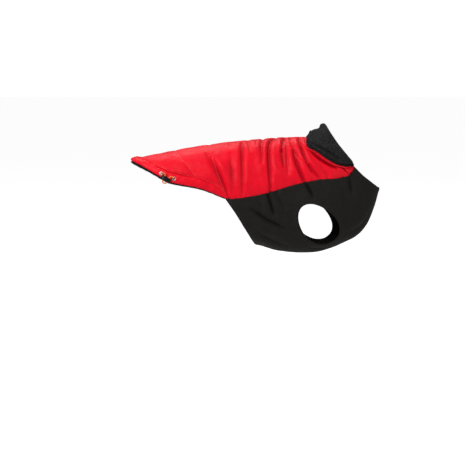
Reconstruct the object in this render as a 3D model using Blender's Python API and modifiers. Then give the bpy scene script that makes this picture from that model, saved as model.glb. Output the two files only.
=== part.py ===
"""Dog jacket, in the shape it has when worn, and empty.

A red puffer back hangs from the spine to a slanting side seam. A black softshell chest
closes it under the belly and has two armholes. A black fleece collar is turned down over
the back, and a cord with a lock gathers the rolled hem over the rump.

World frame in metres: +X to the neck, +Y to the wearer's left, +Z up. The origin is the
inner face of the back at the withers. Tables and constants are in millimetres and degrees.

The cloth lies on one smooth skin. A place on it is given by along, the distance along the
body at half height, and angle, measured round the body from the spine: 0 is the spine,
90 the wearer's right flank, -90 the left flank and 180 the middle of the belly.
"""

import math

import bmesh
import bpy
import numpy as np
from mathutils import Matrix, Vector

MM = 0.001

# Walls and gaps
BACK_WALL = 3.0
CHEST_WALL = 1.8
FLEECE_WALL = 2.4
EDGE_WALL = 1.2
FACING_WALL = 1.2
SEAM_GAP = 0.5
HEM_SEAM_GAP = 0.7
COLLAR_SEAM_GAP = 1.2
LAYER_GAP = 0.4

# The skin: a fan of slanting sections, each an oval between the spine and the belly.
# along, back_x, back_z, belly_x, belly_z, half_width
SECTIONS = (
    (-294, -346, -44.0, -242, -186, 58),
    (-233, -294, -34.5, -172, -209, 70),
    (-145.5, -216, -20.5, -75, -234, 77),
    (-68, -138, -10.5, 2, -252, 81),
    (1.5, -70, -3.5, 73, -249, 84),
    (68, 0, 0.0, 136, -224, 82),
    (99, 29, -1.0, 169, -198, 76),
    (121, 53, 1.5, 189, -156, 67),
    (136, 74, 28.0, 198, -111, 57),
)
FULL_ABOVE = 0.10

# Edges of the pieces on the right half, from front to rear or from side to middle.
# along, angle
SIDE_SEAM = (
    (-137, 88.8),
    (-121, 87.8),
    (-83, 84.4),
    (-46, 81.5),
    (-3, 77.7),
    (44, 76.0),
    (81, 77.5),
    (109, 83.6),
    (118, 88.0),
    (129.5, 91.7),
)
CASING_SEAM = (
    (-136.8, 88.5),
    (-140.5, 84),
    (-147, 74),
    (-157, 70.6),
    (-174, 65.4),
    (-194, 62),
    (-212, 58.5),
    (-227, 54.7),
    (-238, 49.4),
    (-250, 39),
    (-262, 25),
    (-269, 12),
    (-272, 0),
)
HEM_EDGE = (
    (-137.6, 89),
    (-148, 87.4),
    (-159, 84.4),
    (-170, 81.2),
    (-188, 76.9),
    (-214, 73.4),
    (-234, 70.5),
    (-244, 68),
    (-253, 62),
    (-265, 53),
    (-276, 42),
    (-286, 29),
    (-292, 14),
    (-294, 0),
)
COLLAR_SEAM = (
    (129.5, 91.7),
    (125.6, 89.2),
    (123.4, 84),
    (120.8, 74),
    (119, 62),
    (117.6, 50),
    (117, 33),
    (117.5, 16),
    (118, 0),
)
COLLAR_FOLD = (
    (129.8, 90.6),
    (130.6, 84),
    (130.9, 74),
    (131.2, 62),
    (131.8, 49.6),
    (133.3, 32.6),
    (135.2, 15),
    (136, 0),
)
COLLAR_FREE_EDGE = (
    (125.4, 89),
    (120.5, 77),
    (116, 70.5),
    (110, 64),
    (103.5, 56),
    (98.5, 48),
    (93, 43),
    (86.5, 38.5),
    (88, 31),
    (98, 20),
    (108, 9),
    (112, 0),
)
NECK_EDGE = (
    (129.5, 91.7),
    (130.1, 106.7),
    (132.1, 124.9),
    (134.5, 152),
    (136, 180),
)
BELLY_HEM = (
    (-146, 180),
    (-146, 164),
    (-145, 145),
    (-142, 123),
    (-141, 104),
    (-142, 89.6),
)

# Armholes, ovals low on each side
ARMHOLE_ALONG = 19
ARMHOLE_ANGLE = 124
ARMHOLE_HALF_LENGTH = 39
ARMHOLE_HALF_ANGLE = 27

# Folds of the right side, from the upper end through a middle point to the lower end.
# A negative depth is a ridge.
# along, angle, along, angle, along, angle, spread, depth
FOLDS_RIGHT = (
    (-126, 20, -130, 61, -140, 90, 8, 4.0),
    (-119, 38, -124, 63, -136, 88, 7, 4.5),
    (-106, 14, -111, 59, -131, 92, 11, -3.0),
    (-78, 44, -95, 61, -110, 78, 11, 2.5),
    (-38, 8, -67, 49, -113, 90, 9, 5.0),
    (-20, 0, -27, 22, -31, 36, 7, 2.5),
    (12, -4, -3, 30, -25, 56, 8, 3.0),
    (26, 0, -6, 48, -52, 92, 8, 5.0),
    (-47, 78, -53, 92, -62, 108, 8, 3.5),
    (58, 5, 40, 28, 25, 42, 8, 3.5),
    (33, 38, 22, 50, 12, 60, 8, 3.0),
    (56, 12, 38, 41, 12, 70, 8, 3.0),
    (3, 54, -1, 64, 14, 70, 9, -3.0),
    (57, 34, 42, 62, 38, 84, 8, 5.5),
    (40, 72, 39, 83, 37, 94, 8, 3.0),
    (89, 12, 68, 49, 63, 70, 7, 3.0),
    (68, 56, 69, 67, 72, 79, 8, 3.5),
    (119, 73, 120, 80, 119, 88, 6, 2.5),
    (-102, 96, -83, 110, -50, 121, 11, 4.0),
    (-32, 78, -32, 90, -33, 103, 11, 2.0),
    (119, 88, 114, 97, 107, 108, 12, 2.5),
    (119, 108, 111, 119, 101, 132, 14, -2.5),
    (-120, 128, -100, 140, -66, 146, 14, 2.0),
)
FOLDS_LEFT = (
    (-140, -12, -138, -50, -143, -86, 8, 3.5),
    (-112, -24, -121, -58, -130, -90, 8, 5.0),
    (-92, -8, -104, -44, -119, -80, 11, -2.5),
    (-64, -14, -84, -52, -104, -86, 9, 4.0),
    (-30, -2, -58, -40, -88, -72, 8, 4.5),
    (-4, -6, -16, -26, -30, -44, 7, 2.5),
    (20, 0, -8, -42, -40, -92, 8, 5.0),
    (-38, -80, -48, -94, -58, -112, 8, 3.0),
    (46, -4, 30, -34, 8, -60, 8, 3.5),
    (26, -50, 18, -62, 4, -72, 9, -2.5),
    (62, -18, 50, -46, 36, -82, 8, 5.0),
    (35, -70, 33, -84, 30, -96, 8, 3.0),
    (84, -8, 72, -40, 62, -66, 8, 3.5),
    (88, -56, 86, -66, 88, -78, 8, 3.0),
    (117, -70, 119, -79, 118, -87, 6, 2.5),
    (-96, -98, -74, -108, -44, -116, 11, 3.5),
    (-18, -78, -20, -92, -24, -104, 11, 2.0),
    (117, -90, 110, -102, 100, -114, 12, 2.5),
    (-112, -134, -90, -144, -58, -148, 14, 2.0),
)
# Quilting lines, from the right flank over the spine to the left flank
FOLDS_MIDDLE = (
    (-177, 64, -192, 0, -178, -62, 3.0, 1.6),
    (-140, 86, -97, 0, -139, -85, 3.0, 1.6),
)
FOLD_SHOULDER = 0.75
FOLD_STEPS = 9
TRACE_STEPS = 30

# Mesh cells
SEAM_CELLS = 36
HEM_CELLS = 19
TAIL_CELLS = 18
TAIL_SHARE = 0.10
BACK_LEAN = 70
CHEST_CELLS_NECK = 7
CHEST_CELLS_MIDDLE = 14
CHEST_CELLS_HEM = 8
CHEST_CELLS_INWARD = 8
CASING_SIDES = 8
COLLAR_CELLS = 40
COLLAR_STAND_CELLS = 2
COLLAR_BEND_CELLS = 4
COLLAR_FLAP_CELLS = 4

# Rolled casing
CASING_FULL_WIDTH = 18
CASING_HALF_HEIGHT = 3.2
CASING_MIDDLE_OUT = 2.2
CASING_END_SHARE = 0.014
CASING_LEAST = 0.25
FACING_SHOWS = 2.6
FACING_HIDDEN = 9.0
FACING_TAPER = 0.125
FACING_LEAST = 0.3

# Turned collar
BEND_RADIUS = 4.0
BEND_RADIUS_TIP = 2.1
BEND_SHARE = 0.3
FLAP_EDGE_OUT = 7.6
FLAP_SWELL = 3.0
COLLAR_TIP_SHARE = 0.03
EDGE_SHOWS = 4.5
EDGE_HIDDEN = 9.0
EDGE_HIDDEN_SHARE = 0.4

# Adjuster on the right side of the casing
EYELETS = (("eyelet_rear", -247, 56.4), ("eyelet_front", -227.4, 64.7))
EYELET_RING = 3.2
EYELET_WIRE = 1.0
EYELET_FLATNESS = 0.6
LOCK_ALONG = -244
LOCK_ANGLE = 64.5
LOCK_OUT = 9.6
LOCK_LENGTH = 22
LOCK_HEIGHT = 9
LOCK_DEPTH = 7
LOCK_ROUND = 3.2
LOCK_ROUND_STEPS = 3
LOCK_HOLE_APART = 10
LOCK_HOLE = 3.5
LOCK_TILT = 29
CORD = 2.6
CORD_POINTS = 27
# Cord from the rear eyelet through the lock and back, seen from the middle of the lock.
# forward, up, out
CORD_ROUTE = (
    (-14.9, 5.4, -4.6),
    (-14.6, 5.6, -2.3),
    (-13.3, 6.4, -0.4),
    (-10.9, 7.8, 0.7),
    (-8.0, 8.3, 0.7),
    (-5.7, 6.9, 0.3),
    (-5.0, 4.3, 0.0),
    (-5.0, 0.0, 0.0),
    (-5.0, -4.2, 0.0),
    (-4.9, -6.2, -0.2),
    (-3.4, -9.0, -0.7),
    (0.0, -10.4, -1.0),
    (3.4, -9.0, -0.7),
    (4.9, -6.2, -0.2),
    (5.0, -4.2, 0.0),
    (5.0, 0.0, 0.0),
    (5.0, 4.3, 0.0),
    (5.8, 7.2, 0.3),
    (8.2, 8.9, 0.8),
    (11.2, 8.9, 0.7),
    (13.5, 8.2, -0.4),
    (14.3, 7.8, -2.2),
    (14.4, 7.7, -4.2),
)

# Colour, roughness, metallic
FINISHES = {
    "red_nylon": ((0.72, 0.018, 0.03, 1), 0.42, 0.0),
    "black_softshell": ((0.018, 0.018, 0.018, 1), 0.8, 0.0),
    "black_fleece": ((0.016, 0.016, 0.018, 1), 0.95, 0.0),
    "nickel": ((0.62, 0.6, 0.56, 1), 0.28, 1.0),
    "black_plastic": ((0.014, 0.014, 0.014, 1), 0.4, 0.0),
    "orange_cord": ((0.9, 0.2, 0.05, 1), 0.7, 0.0),
}


def through(rows, at):
    """Smooth curve through rows, whose first column is the place, read at each place."""
    table = np.array(rows, float)
    knots = table[:, 0]
    values = table[:, 1:]
    last = len(knots) - 1
    before = np.maximum(np.arange(last + 1) - 1, 0)
    after = np.minimum(np.arange(last + 1) + 1, last)
    slopes = (values[after] - values[before]) / (knots[after] - knots[before])[:, None]
    at = np.asarray(at, float)
    cell = np.clip(np.searchsorted(knots, at, side="right") - 1, 0, last - 1)
    step = (knots[cell + 1] - knots[cell])[..., None]
    t = (at - knots[cell])[..., None] / step
    start = (2 * t**3 - 3 * t**2 + 1) * values[cell] + (t**3 - 2 * t**2 + t) * step * slopes[cell]
    end = (3 * t**2 - 2 * t**3) * values[cell + 1] + (t**3 - t**2) * step * slopes[cell + 1]
    return start + end


def skin(places):
    """Inner face of the smooth jacket at an array of (along, angle)."""
    row = through(SECTIONS, places[..., 0])
    turn = np.radians(places[..., 1])
    share = (1 - np.cos(turn)) / 2
    x = row[..., 0] + (row[..., 2] - row[..., 0]) * share
    z = row[..., 1] + (row[..., 3] - row[..., 1]) * share
    y = -row[..., 4] * np.sin(turn) * (1 + FULL_ABOVE * np.cos(turn))
    return np.stack((x, y, z), axis=-1)


def directions(places):
    """Change of the skin per mm along and per degree round, and its outward normal."""
    forward = skin(places + (0.5, 0)) - skin(places - (0.5, 0))
    around = skin(places + (0, 0.5)) - skin(places - (0, 0.5))
    outward = np.cross(around, forward)
    outward /= np.linalg.norm(outward, axis=-1, keepdims=True)
    return forward, around, outward


def fold_height(points):
    """How far the folds lift the cloth at points of the smooth skin."""
    height = np.zeros(points.shape[:-1])
    t = np.linspace(0, 1, FOLD_STEPS)[:, None]
    for row in FOLDS_RIGHT + FOLDS_LEFT + FOLDS_MIDDLE:
        first, middle, last = np.reshape(row[:6], (3, 2))
        bend = 2 * middle - (first + last) / 2
        line = skin((1 - t) ** 2 * first + 2 * t * (1 - t) * bend + t**2 * last)
        nearest = np.full(height.shape, np.inf)
        share = np.zeros(height.shape)
        for step in range(FOLD_STEPS - 1):
            run = line[step + 1] - line[step]
            part = np.clip((points - line[step]) @ run / (run @ run), 0, 1)
            gap = np.linalg.norm(points - line[step] - part[..., None] * run, axis=-1)
            closer = gap < nearest
            nearest = np.where(closer, gap, nearest)
            share = np.where(closer, (step + part) / (FOLD_STEPS - 1), share)
        r2 = (nearest / row[6]) ** 2
        fade = np.sqrt(np.clip(np.sin(math.pi * share), 0, 1))
        height -= row[7] * fade * (1 - FOLD_SHOULDER * r2) * np.exp(-r2 / 2)
    return height


def cloth(places, out=0.0, folded=1.0):
    """Point of the folded cloth, out mm from its inner face."""
    base = skin(places)
    lift = out + folded * fold_height(base)
    return base + directions(places)[2] * lift[..., None]


def trace(rows, shares):
    """Places at the given shares of the real length of the smooth line through rows."""
    numbered = [(number, *row) for number, row in enumerate(rows)]
    fine = np.linspace(0, len(rows) - 1, TRACE_STEPS * len(rows))
    steps = np.linalg.norm(np.diff(skin(through(numbered, fine)), axis=0), axis=1)
    length = np.concatenate(([0], np.cumsum(steps)))
    return through(numbered, np.interp(np.asarray(shares) * length[-1], length, fine))


def beside(line, distance):
    """The line moved sideways on the skin by real millimetres, to its left from outside."""
    forward, around, outward = directions(line)
    heading = np.gradient(skin(line), axis=0)
    heading /= np.linalg.norm(heading, axis=-1, keepdims=True)
    move = np.cross(outward, heading) * np.reshape(distance, (-1, 1))
    ff = (forward * forward).sum(-1)
    aa = (around * around).sum(-1)
    fa = (forward * around).sum(-1)
    fm = (forward * move).sum(-1)
    am = (around * move).sum(-1)
    scale = ff * aa - fa * fa
    return line + np.stack((fm * aa - am * fa, am * ff - fm * fa), axis=-1) / scale[:, None]


def mirrored(line):
    """The same places on the other side of the spine."""
    return line * (1, -1)


def over_the_back(rows):
    """Rows of a line that runs from the right side over the spine to the left side."""
    return tuple(rows) + tuple((along, -angle) for along, angle in reversed(rows[:-1]))


def material(finish):
    """One Principled material for each finish."""
    found = bpy.data.materials.get(finish)
    if found:
        return found
    colour, roughness, metallic = FINISHES[finish]
    made = bpy.data.materials.new(finish)
    made.use_nodes = True
    shader = made.node_tree.nodes["Principled BSDF"]
    shader.inputs["Base Color"].default_value = colour
    shader.inputs["Roughness"].default_value = roughness
    shader.inputs["Metallic"].default_value = metallic
    made.diffuse_color = colour
    return made


def add_object(name, mesh, finish, collection):
    """A smooth-shaded object of the jacket."""
    piece = bpy.data.objects.new(name, mesh)
    collection.objects.link(piece)
    mesh.materials.append(material(finish))
    mesh.shade_smooth()
    return piece


def grid_mesh(name, points, closed=False):
    """Quads over a grid of points in mm; closed joins its last column to its first."""
    rows, columns = points.shape[:2]
    mesh = bpy.data.meshes.new(name)
    bm = bmesh.new()
    verts = [[bm.verts.new(Vector(p) * MM) for p in line] for line in points]
    for i in range(rows - 1):
        for j in range(columns if closed else columns - 1):
            k = (j + 1) % columns
            bm.faces.new((verts[i][j], verts[i][k], verts[i + 1][k], verts[i + 1][j]))
    return mesh, bm, verts


def panel(name, points, wall, finish, collection, closed=False, side=0.0):
    """Cloth panel: an open surface with its wall given by Solidify."""
    mesh, bm, _ = grid_mesh(name, points, closed)
    bm.to_mesh(mesh)
    bm.free()
    piece = add_object(name, mesh, finish, collection)
    solid = piece.modifiers.new("wall", "SOLIDIFY")
    solid.thickness = wall * MM
    solid.offset = side
    return piece


def tube(name, rings, finish, collection):
    """Closed band whose rings may change shape from end to end."""
    mesh, bm, verts = grid_mesh(name, rings, closed=True)
    bm.faces.new(reversed(verts[0]))
    bm.faces.new(verts[-1])
    bmesh.ops.recalc_face_normals(bm, faces=bm.faces)
    bm.to_mesh(mesh)
    bm.free()
    return add_object(name, mesh, finish, collection)


def hem_shares():
    """Stations of the hem, from near the right corner over the tail to near the left."""
    side = np.linspace(CASING_END_SHARE, 0.5 - TAIL_SHARE, HEM_CELLS + 1)
    tail = np.linspace(0.5 - TAIL_SHARE, 0.5 + TAIL_SHARE, TAIL_CELLS + 1)
    return np.concatenate((side[:-1], tail, 1 - side[-2::-1]))


def make_back(collection):
    """Red back panel, a Coons patch between tail, flanks and collar seam."""
    hem = beside(trace(over_the_back(CASING_SEAM), hem_shares()), -HEM_SEAM_GAP / 2)
    tail = hem[HEM_CELLS:HEM_CELLS + TAIL_CELLS + 1]
    seam = beside(trace(SIDE_SEAM, np.linspace(0, 1, SEAM_CELLS + 1)), SEAM_GAP / 2)
    right = np.concatenate((hem[HEM_CELLS::-1], seam))
    left = mirrored(right)
    v, neck = neck_line(-COLLAR_SEAM_GAP / 2)
    neck[0] = right[-1]
    neck[-1] = left[-1]
    steps = np.linalg.norm(np.diff(skin(right), axis=0), axis=1)
    u = np.concatenate(([0], np.cumsum(steps))) / steps.sum()
    u = u[:, None, None]
    v = v[None, :, None]
    across = (1 - u) * tail[None] + u * neck[None]
    length = (1 - v) * right[:, None] + v * left[:, None]
    corners = (1 - u) * ((1 - v) * tail[0] + v * tail[-1]) + u * ((1 - v) * neck[0] + v * neck[-1])
    lean = BACK_LEAN * 4 * v * (1 - v) * np.sin(math.pi * u) ** 2 * (1, 0)
    places = across + length - corners + lean
    panel("back_panel", cloth(places), BACK_WALL, "red_nylon", collection, side=-1.0)


def chest_loop():
    """Outline of the right chest half, from the rear corner forward along the seam."""
    seam = beside(trace(SIDE_SEAM, np.linspace(0, 1, SEAM_CELLS + 1)), -SEAM_GAP / 2)
    neck = trace(NECK_EDGE, np.linspace(0, 1, CHEST_CELLS_NECK + 1))
    middle = trace((NECK_EDGE[-1], BELLY_HEM[0]), np.linspace(0, 1, CHEST_CELLS_MIDDLE + 1))
    middle = beside(middle, -SEAM_GAP / 2)
    hem = trace(BELLY_HEM, np.linspace(0, 1, CHEST_CELLS_HEM + 1))
    neck[0] = seam[-1]
    neck[-1] = middle[0]
    hem[0] = middle[-1]
    return np.concatenate((seam[:-1], neck[:-1], middle[:-1], hem))


def make_chest(side, name, collection):
    """Half of the chest: rings of quads from its outline in to the armhole."""
    outer = chest_loop()
    centre = np.array((ARMHOLE_ALONG, ARMHOLE_ANGLE))
    reach = np.array((ARMHOLE_HALF_LENGTH, ARMHOLE_HALF_ANGLE))
    toward = (outer - centre) / reach
    toward /= np.linalg.norm(toward, axis=1, keepdims=True)
    inner = centre + toward * reach
    t = np.linspace(0, 1, CHEST_CELLS_INWARD + 1)[:, None, None]
    places = (1 - t) * outer[None] + t * inner[None]
    if side < 0:
        places = mirrored(places)
    panel(name, cloth(places), CHEST_WALL, "black_softshell", collection, closed=True,
          side=-1.0 * side)


def hem_lines(shares):
    """Places of the casing's seam and of its free edge, matched across the casing."""
    seam = beside(trace(over_the_back(CASING_SEAM), shares), HEM_SEAM_GAP / 2)
    edge = trace(over_the_back(HEM_EDGE), shares)
    return seam, edge


def make_casing(collection):
    """Rolled red hem: a flattened oval that narrows to the side seams."""
    seam, edge = hem_lines(hem_shares())
    width = np.linalg.norm(skin(seam) - skin(edge), axis=1)
    height = CASING_HALF_HEIGHT * np.clip(width / CASING_FULL_WIDTH, CASING_LEAST, 1)
    turn = np.linspace(0, 2 * math.pi, CASING_SIDES, endpoint=False)[None, :]
    share = (0.5 - 0.5 * np.cos(turn))[..., None]
    places = (1 - share) * seam[:, None] + share * edge[:, None]
    out = CASING_MIDDLE_OUT + height[:, None] * np.sin(turn)
    tube("hem_casing", cloth(places, out), "red_nylon", collection)


def make_facing(collection):
    """Black inner edge of the hem, which shows below the casing."""
    shares = hem_shares()[1:-1]
    edge = hem_lines(shares)[1]
    taper = np.clip(np.minimum(shares, 1 - shares) / FACING_TAPER, FACING_LEAST, 1)
    top = beside(edge, -FACING_HIDDEN * taper)
    low = beside(edge, FACING_SHOWS)
    middle_out = CASING_MIDDLE_OUT - CASING_HALF_HEIGHT - LAYER_GAP - FACING_WALL
    rings = []
    for place, out in ((top, 0), (low, 0), (low, FACING_WALL), (top, FACING_WALL)):
        rings.append(cloth(place, np.full(len(shares), middle_out + out)))
    tube("hem_facing", np.stack(rings, axis=1), "black_fleece", collection)


def neck_line(distance):
    """The collar seam with the back panel's own cells, moved forward by distance."""
    shares = np.linspace(0, 1, TAIL_CELLS + 1)
    return shares, beside(trace(over_the_back(COLLAR_SEAM), shares), -distance)


def collar_lines():
    """Places of the collar's seam, fold and free edge, and the flap's width there."""
    shares = np.linspace(COLLAR_TIP_SHARE, 1 - COLLAR_TIP_SHARE, COLLAR_CELLS + 1)
    cells, line = neck_line(COLLAR_SEAM_GAP / 2)
    seam = np.stack([np.interp(shares, cells, line[:, axis]) for axis in (0, 1)], axis=-1)
    fold = trace(over_the_back(COLLAR_FOLD), shares)
    free = trace(over_the_back(COLLAR_FREE_EDGE), shares)
    return seam, fold, free, np.linalg.norm(skin(fold) - skin(free), axis=1)


def flap_out(share, top):
    """Height of the flap's middle above the skin, from the fold to the free edge."""
    return top + (FLAP_EDGE_OUT - top) * share + FLAP_SWELL * np.sin(math.pi * share**1.5)


def make_collar(collection):
    """Fleece collar: a stand from the collar seam, a bend and a flap turned down."""
    seam, fold, free, width = collar_lines()
    radius = np.clip(BEND_SHARE * width, BEND_RADIUS_TIP, BEND_RADIUS)
    low = FLEECE_WALL / 2
    crest = beside(fold, radius + low)
    columns = []
    for t in np.linspace(0, 1, COLLAR_STAND_CELLS + 1)[:-1]:
        columns.append(cloth((1 - t) * seam + t * crest, np.full(len(width), low), 0))
    for turn in np.linspace(-90, 90, COLLAR_BEND_CELLS + 1):
        reach = radius * math.cos(math.radians(turn))
        out = low + radius * (1 + math.sin(math.radians(turn)))
        columns.append(cloth(beside(crest, -reach), out, 0))
    for t in np.linspace(0, 1, COLLAR_FLAP_CELLS + 1)[1:]:
        columns.append(cloth((1 - t) * crest + t * free, flap_out(t, low + 2 * radius), 0))
    panel("collar", np.stack(columns, axis=1), FLEECE_WALL, "black_fleece", collection)


def make_collar_edge(collection):
    """Red outer layer of the collar, which shows past the flap's free edge."""
    _, _, free, width = collar_lines()
    top = beside(free, -np.minimum(EDGE_HIDDEN, EDGE_HIDDEN_SHARE * width))[1:-1]
    low = beside(free, EDGE_SHOWS)[1:-1]
    under = FLAP_EDGE_OUT - FLEECE_WALL / 2 - 2 * LAYER_GAP - EDGE_WALL
    rings = []
    for place, out in ((top, 0), (low, 0), (low, EDGE_WALL), (top, EDGE_WALL)):
        rings.append(cloth(place, np.full(len(place), under + out), 0))
    tube("collar_edge", np.stack(rings, axis=1), "red_nylon", collection)


def seat(along, angle, out, tilt=0.0):
    """Placement on the cloth: local X forward and down by tilt, Y up, Z outward."""
    place = np.array((along, angle), float)
    forward, around, outward = directions(place)
    origin = skin(place) + outward * out
    outward = Vector(outward)
    level = Vector((1, 0, 0))
    level = (level - outward * level.dot(outward)).normalized()
    down = level.cross(outward)
    angle = math.radians(tilt)
    x = level * math.cos(angle) + down * math.sin(angle)
    y = outward.cross(x)
    matrix = Matrix((x, y, outward)).transposed().to_4x4()
    matrix.translation = Vector(origin) * MM
    return matrix


def make_eyelets(collection):
    """Two metal rings on the crest of the casing."""
    out = CASING_MIDDLE_OUT + CASING_HALF_HEIGHT + LAYER_GAP + EYELET_WIRE / 2
    for name, along, angle in EYELETS:
        bpy.ops.mesh.primitive_torus_add(
            major_segments=16, minor_segments=8, major_radius=EYELET_RING * MM,
            minor_radius=EYELET_WIRE * MM)
        ring = bpy.context.object
        ring.name = name
        ring.data.transform(Matrix.Diagonal((1, 1, EYELET_FLATNESS, 1)))
        ring.data.materials.append(material("nickel"))
        ring.data.shade_smooth()
        ring.matrix_world = seat(along, angle, out)
        move_to(ring, collection)


def move_to(piece, collection):
    """Keep a piece in one collection only."""
    for other in list(piece.users_collection):
        other.objects.unlink(piece)
    collection.objects.link(piece)


def make_lock(collection, cutters):
    """Cord lock: a rounded bar with two holes across it."""
    placed = seat(LOCK_ALONG, LOCK_ANGLE, LOCK_OUT, LOCK_TILT)
    bpy.ops.mesh.primitive_cube_add(size=1)
    lock = bpy.context.object
    lock.name = "cord_lock"
    lock.data.transform(Matrix.Diagonal((LOCK_LENGTH, LOCK_HEIGHT, LOCK_DEPTH, 1)) * MM)
    lock.data.materials.append(material("black_plastic"))
    lock.matrix_world = placed
    move_to(lock, collection)
    edge = lock.modifiers.new("round", "BEVEL")
    edge.width = LOCK_ROUND * MM
    edge.segments = LOCK_ROUND_STEPS
    for side in (-1, 1):
        bpy.ops.mesh.primitive_cylinder_add(
            vertices=12, radius=LOCK_HOLE / 2 * MM, depth=2 * LOCK_HEIGHT * MM)
        hole = bpy.context.object
        hole.name = "lock_hole_%s" % ("rear" if side < 0 else "front")
        hole.hide_render = True
        hole.display_type = "WIRE"
        hole.data.transform(Matrix.Rotation(math.pi / 2, 4, "X"))
        hole.matrix_world = placed @ Matrix.Translation((side * LOCK_HOLE_APART / 2 * MM, 0, 0))
        move_to(hole, cutters)
        cut = lock.modifiers.new(hole.name, "BOOLEAN")
        cut.operation = "DIFFERENCE"
        cut.object = hole
    lock.data.shade_smooth()


def make_cord(collection):
    """Elastic cord, an even tube along the smooth line through its route."""
    placed = seat(LOCK_ALONG, LOCK_ANGLE, LOCK_OUT, LOCK_TILT)
    numbered = [(number, *row) for number, row in enumerate(CORD_ROUTE)]
    route = through(numbered, np.linspace(0, len(CORD_ROUTE) - 1, CORD_POINTS))
    curve = bpy.data.curves.new("drawcord", "CURVE")
    curve.dimensions = "3D"
    curve.bevel_depth = CORD / 2 * MM
    curve.bevel_resolution = 2
    curve.use_fill_caps = True
    spline = curve.splines.new("POLY")
    spline.points.add(len(route) - 1)
    for point, place in zip(spline.points, route):
        point.co = (*(placed @ (Vector(place) * MM)), 1)
    curve.materials.append(material("orange_cord"))
    collection.objects.link(bpy.data.objects.new("drawcord", curve))


def main():
    """Clear the scene and make every piece of the jacket."""
    for old in list(bpy.data.objects):
        bpy.data.objects.remove(old, do_unlink=True)
    jacket = bpy.data.collections.new("dog_jacket")
    cutters = bpy.data.collections.new("cutters")
    bpy.context.scene.collection.children.link(jacket)
    bpy.context.scene.collection.children.link(cutters)
    make_back(jacket)
    make_chest(1, "chest_right", jacket)
    make_chest(-1, "chest_left", jacket)
    make_casing(jacket)
    make_facing(jacket)
    make_collar(jacket)
    make_collar_edge(jacket)
    make_eyelets(jacket)
    make_lock(jacket, cutters)
    make_cord(jacket)


main()
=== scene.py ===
"""Dog jacket, as it is worn and empty: cloth, trim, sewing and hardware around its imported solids.

Tables and constants are in millimetres and degrees, and meshes are in metres. A place on the
cloth is (along, angle): the distance along the body at half height, and the angle round the
body from the spine, where 90 is the wearer's right flank and 180 the middle of the belly.
"""

import json
import math

import bpy
import numpy as np
from mathutils import Matrix, Vector, noise
from mathutils.bvhtree import BVHTree


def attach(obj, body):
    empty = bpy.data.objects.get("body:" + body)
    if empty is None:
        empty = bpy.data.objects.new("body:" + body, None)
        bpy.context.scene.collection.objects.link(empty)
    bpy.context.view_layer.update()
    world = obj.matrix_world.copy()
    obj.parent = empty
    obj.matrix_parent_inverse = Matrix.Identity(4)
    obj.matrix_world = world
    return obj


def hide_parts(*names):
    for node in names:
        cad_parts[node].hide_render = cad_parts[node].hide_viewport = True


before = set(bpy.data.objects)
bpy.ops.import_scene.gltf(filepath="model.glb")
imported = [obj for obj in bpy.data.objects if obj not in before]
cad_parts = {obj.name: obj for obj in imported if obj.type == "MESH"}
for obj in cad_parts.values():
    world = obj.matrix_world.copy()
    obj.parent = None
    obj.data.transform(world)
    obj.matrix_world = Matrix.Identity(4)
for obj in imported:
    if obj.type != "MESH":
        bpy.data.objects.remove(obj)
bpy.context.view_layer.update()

bl_info = {
    "name": "Dog Jacket",
    "version": (1, 0, 0),
    "blender": (4, 5, 0),
    "location": "View3D > Sidebar > Jacket",
    "description": "Builds a worn dog jacket: puffer back, softshell chest, fleece collar and corded hem",
    "category": "Add Mesh",
}

MM = 0.001
BODY = "root"

# The skin: a fan of slanting sections, each an oval between the spine and the belly. The
# cloth settles a little at the spine and at the breast.
# along, back_x, back_z, belly_x, belly_z, half_width, spine_down, breast_in
SECTIONS = (
    (-294, -346, -44.0, -242, -186, 58, 5.5, 0.0),
    (-233, -294, -34.5, -172, -209, 70, 4.4, 0.0),
    (-145.5, -216, -20.5, -75, -234, 77, 3.8, 0.0),
    (-68, -138, -10.5, 2, -252, 81, 3.2, 0.0),
    (1.5, -70, -3.5, 73, -249, 84, 3.5, 0.0),
    (68, 0, 0.0, 136, -224, 82, 2.6, 0.0),
    (99, 29, -1.0, 169, -198, 76, 0.8, 2.6),
    (121, 53, 1.5, 189, -156, 67, 3.2, 4.2),
    (136, 74, 28.0, 198, -111, 57, 3.5, 0.6),
)
FULL_ABOVE = 0.10
TRACE_STEPS = 30

# Edges of the pieces on the right half. along, angle
SIDE_SEAM = (
    (-137, 88.8), (-121, 87.8), (-83, 84.4), (-46, 81.5), (-3, 77.7),
    (44, 76.0), (81, 77.5), (109, 83.6), (118, 88.0), (129.5, 91.7),
)
CASING_SEAM = (
    (-136.8, 88.5), (-140.5, 84), (-147, 74), (-157, 70.6), (-174, 65.4), (-194, 62), (-212, 58.5),
    (-227, 54.7), (-238, 49.4), (-250, 39), (-262, 25), (-269, 12), (-272, 0),
)
HEM_EDGE = (
    (-137.6, 89), (-148, 87.4), (-159, 84.4), (-170, 81.2), (-188, 76.9), (-214, 73.4), (-234, 70.5),
    (-244, 68), (-253, 62), (-265, 53), (-276, 42), (-286, 29), (-292, 14), (-294, 0),
)
COLLAR_SEAM = (
    (129.5, 91.7), (125.6, 89.2), (123.4, 84), (120.8, 74), (119, 62),
    (117.6, 50), (117, 33), (117.5, 16), (118, 0),
)
COLLAR_FOLD = (
    (129.8, 90.6), (130.6, 84), (130.9, 74), (131.2, 62), (131.8, 49.6), (133.3, 32.6), (135.2, 15),
    (136, 0),
)
COLLAR_FREE_EDGE = (
    (128.6, 90.2), (124.6, 82), (119.6, 74.6), (115.5, 70), (110, 64), (103.5, 56), (98.5, 48),
    (93, 43), (86.5, 38.5), (88, 31), (98, 20), (108, 9), (112, 0),
)
NECK_EDGE = ((129.5, 91.7), (130.1, 106.7), (132.1, 124.9), (134.5, 152), (136, 180))
BELLY_HEM = ((-147, 180), (-147, 164), (-147.5, 145), (-145.5, 123), (-144.5, 104), (-145.5, 89.6))
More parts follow.
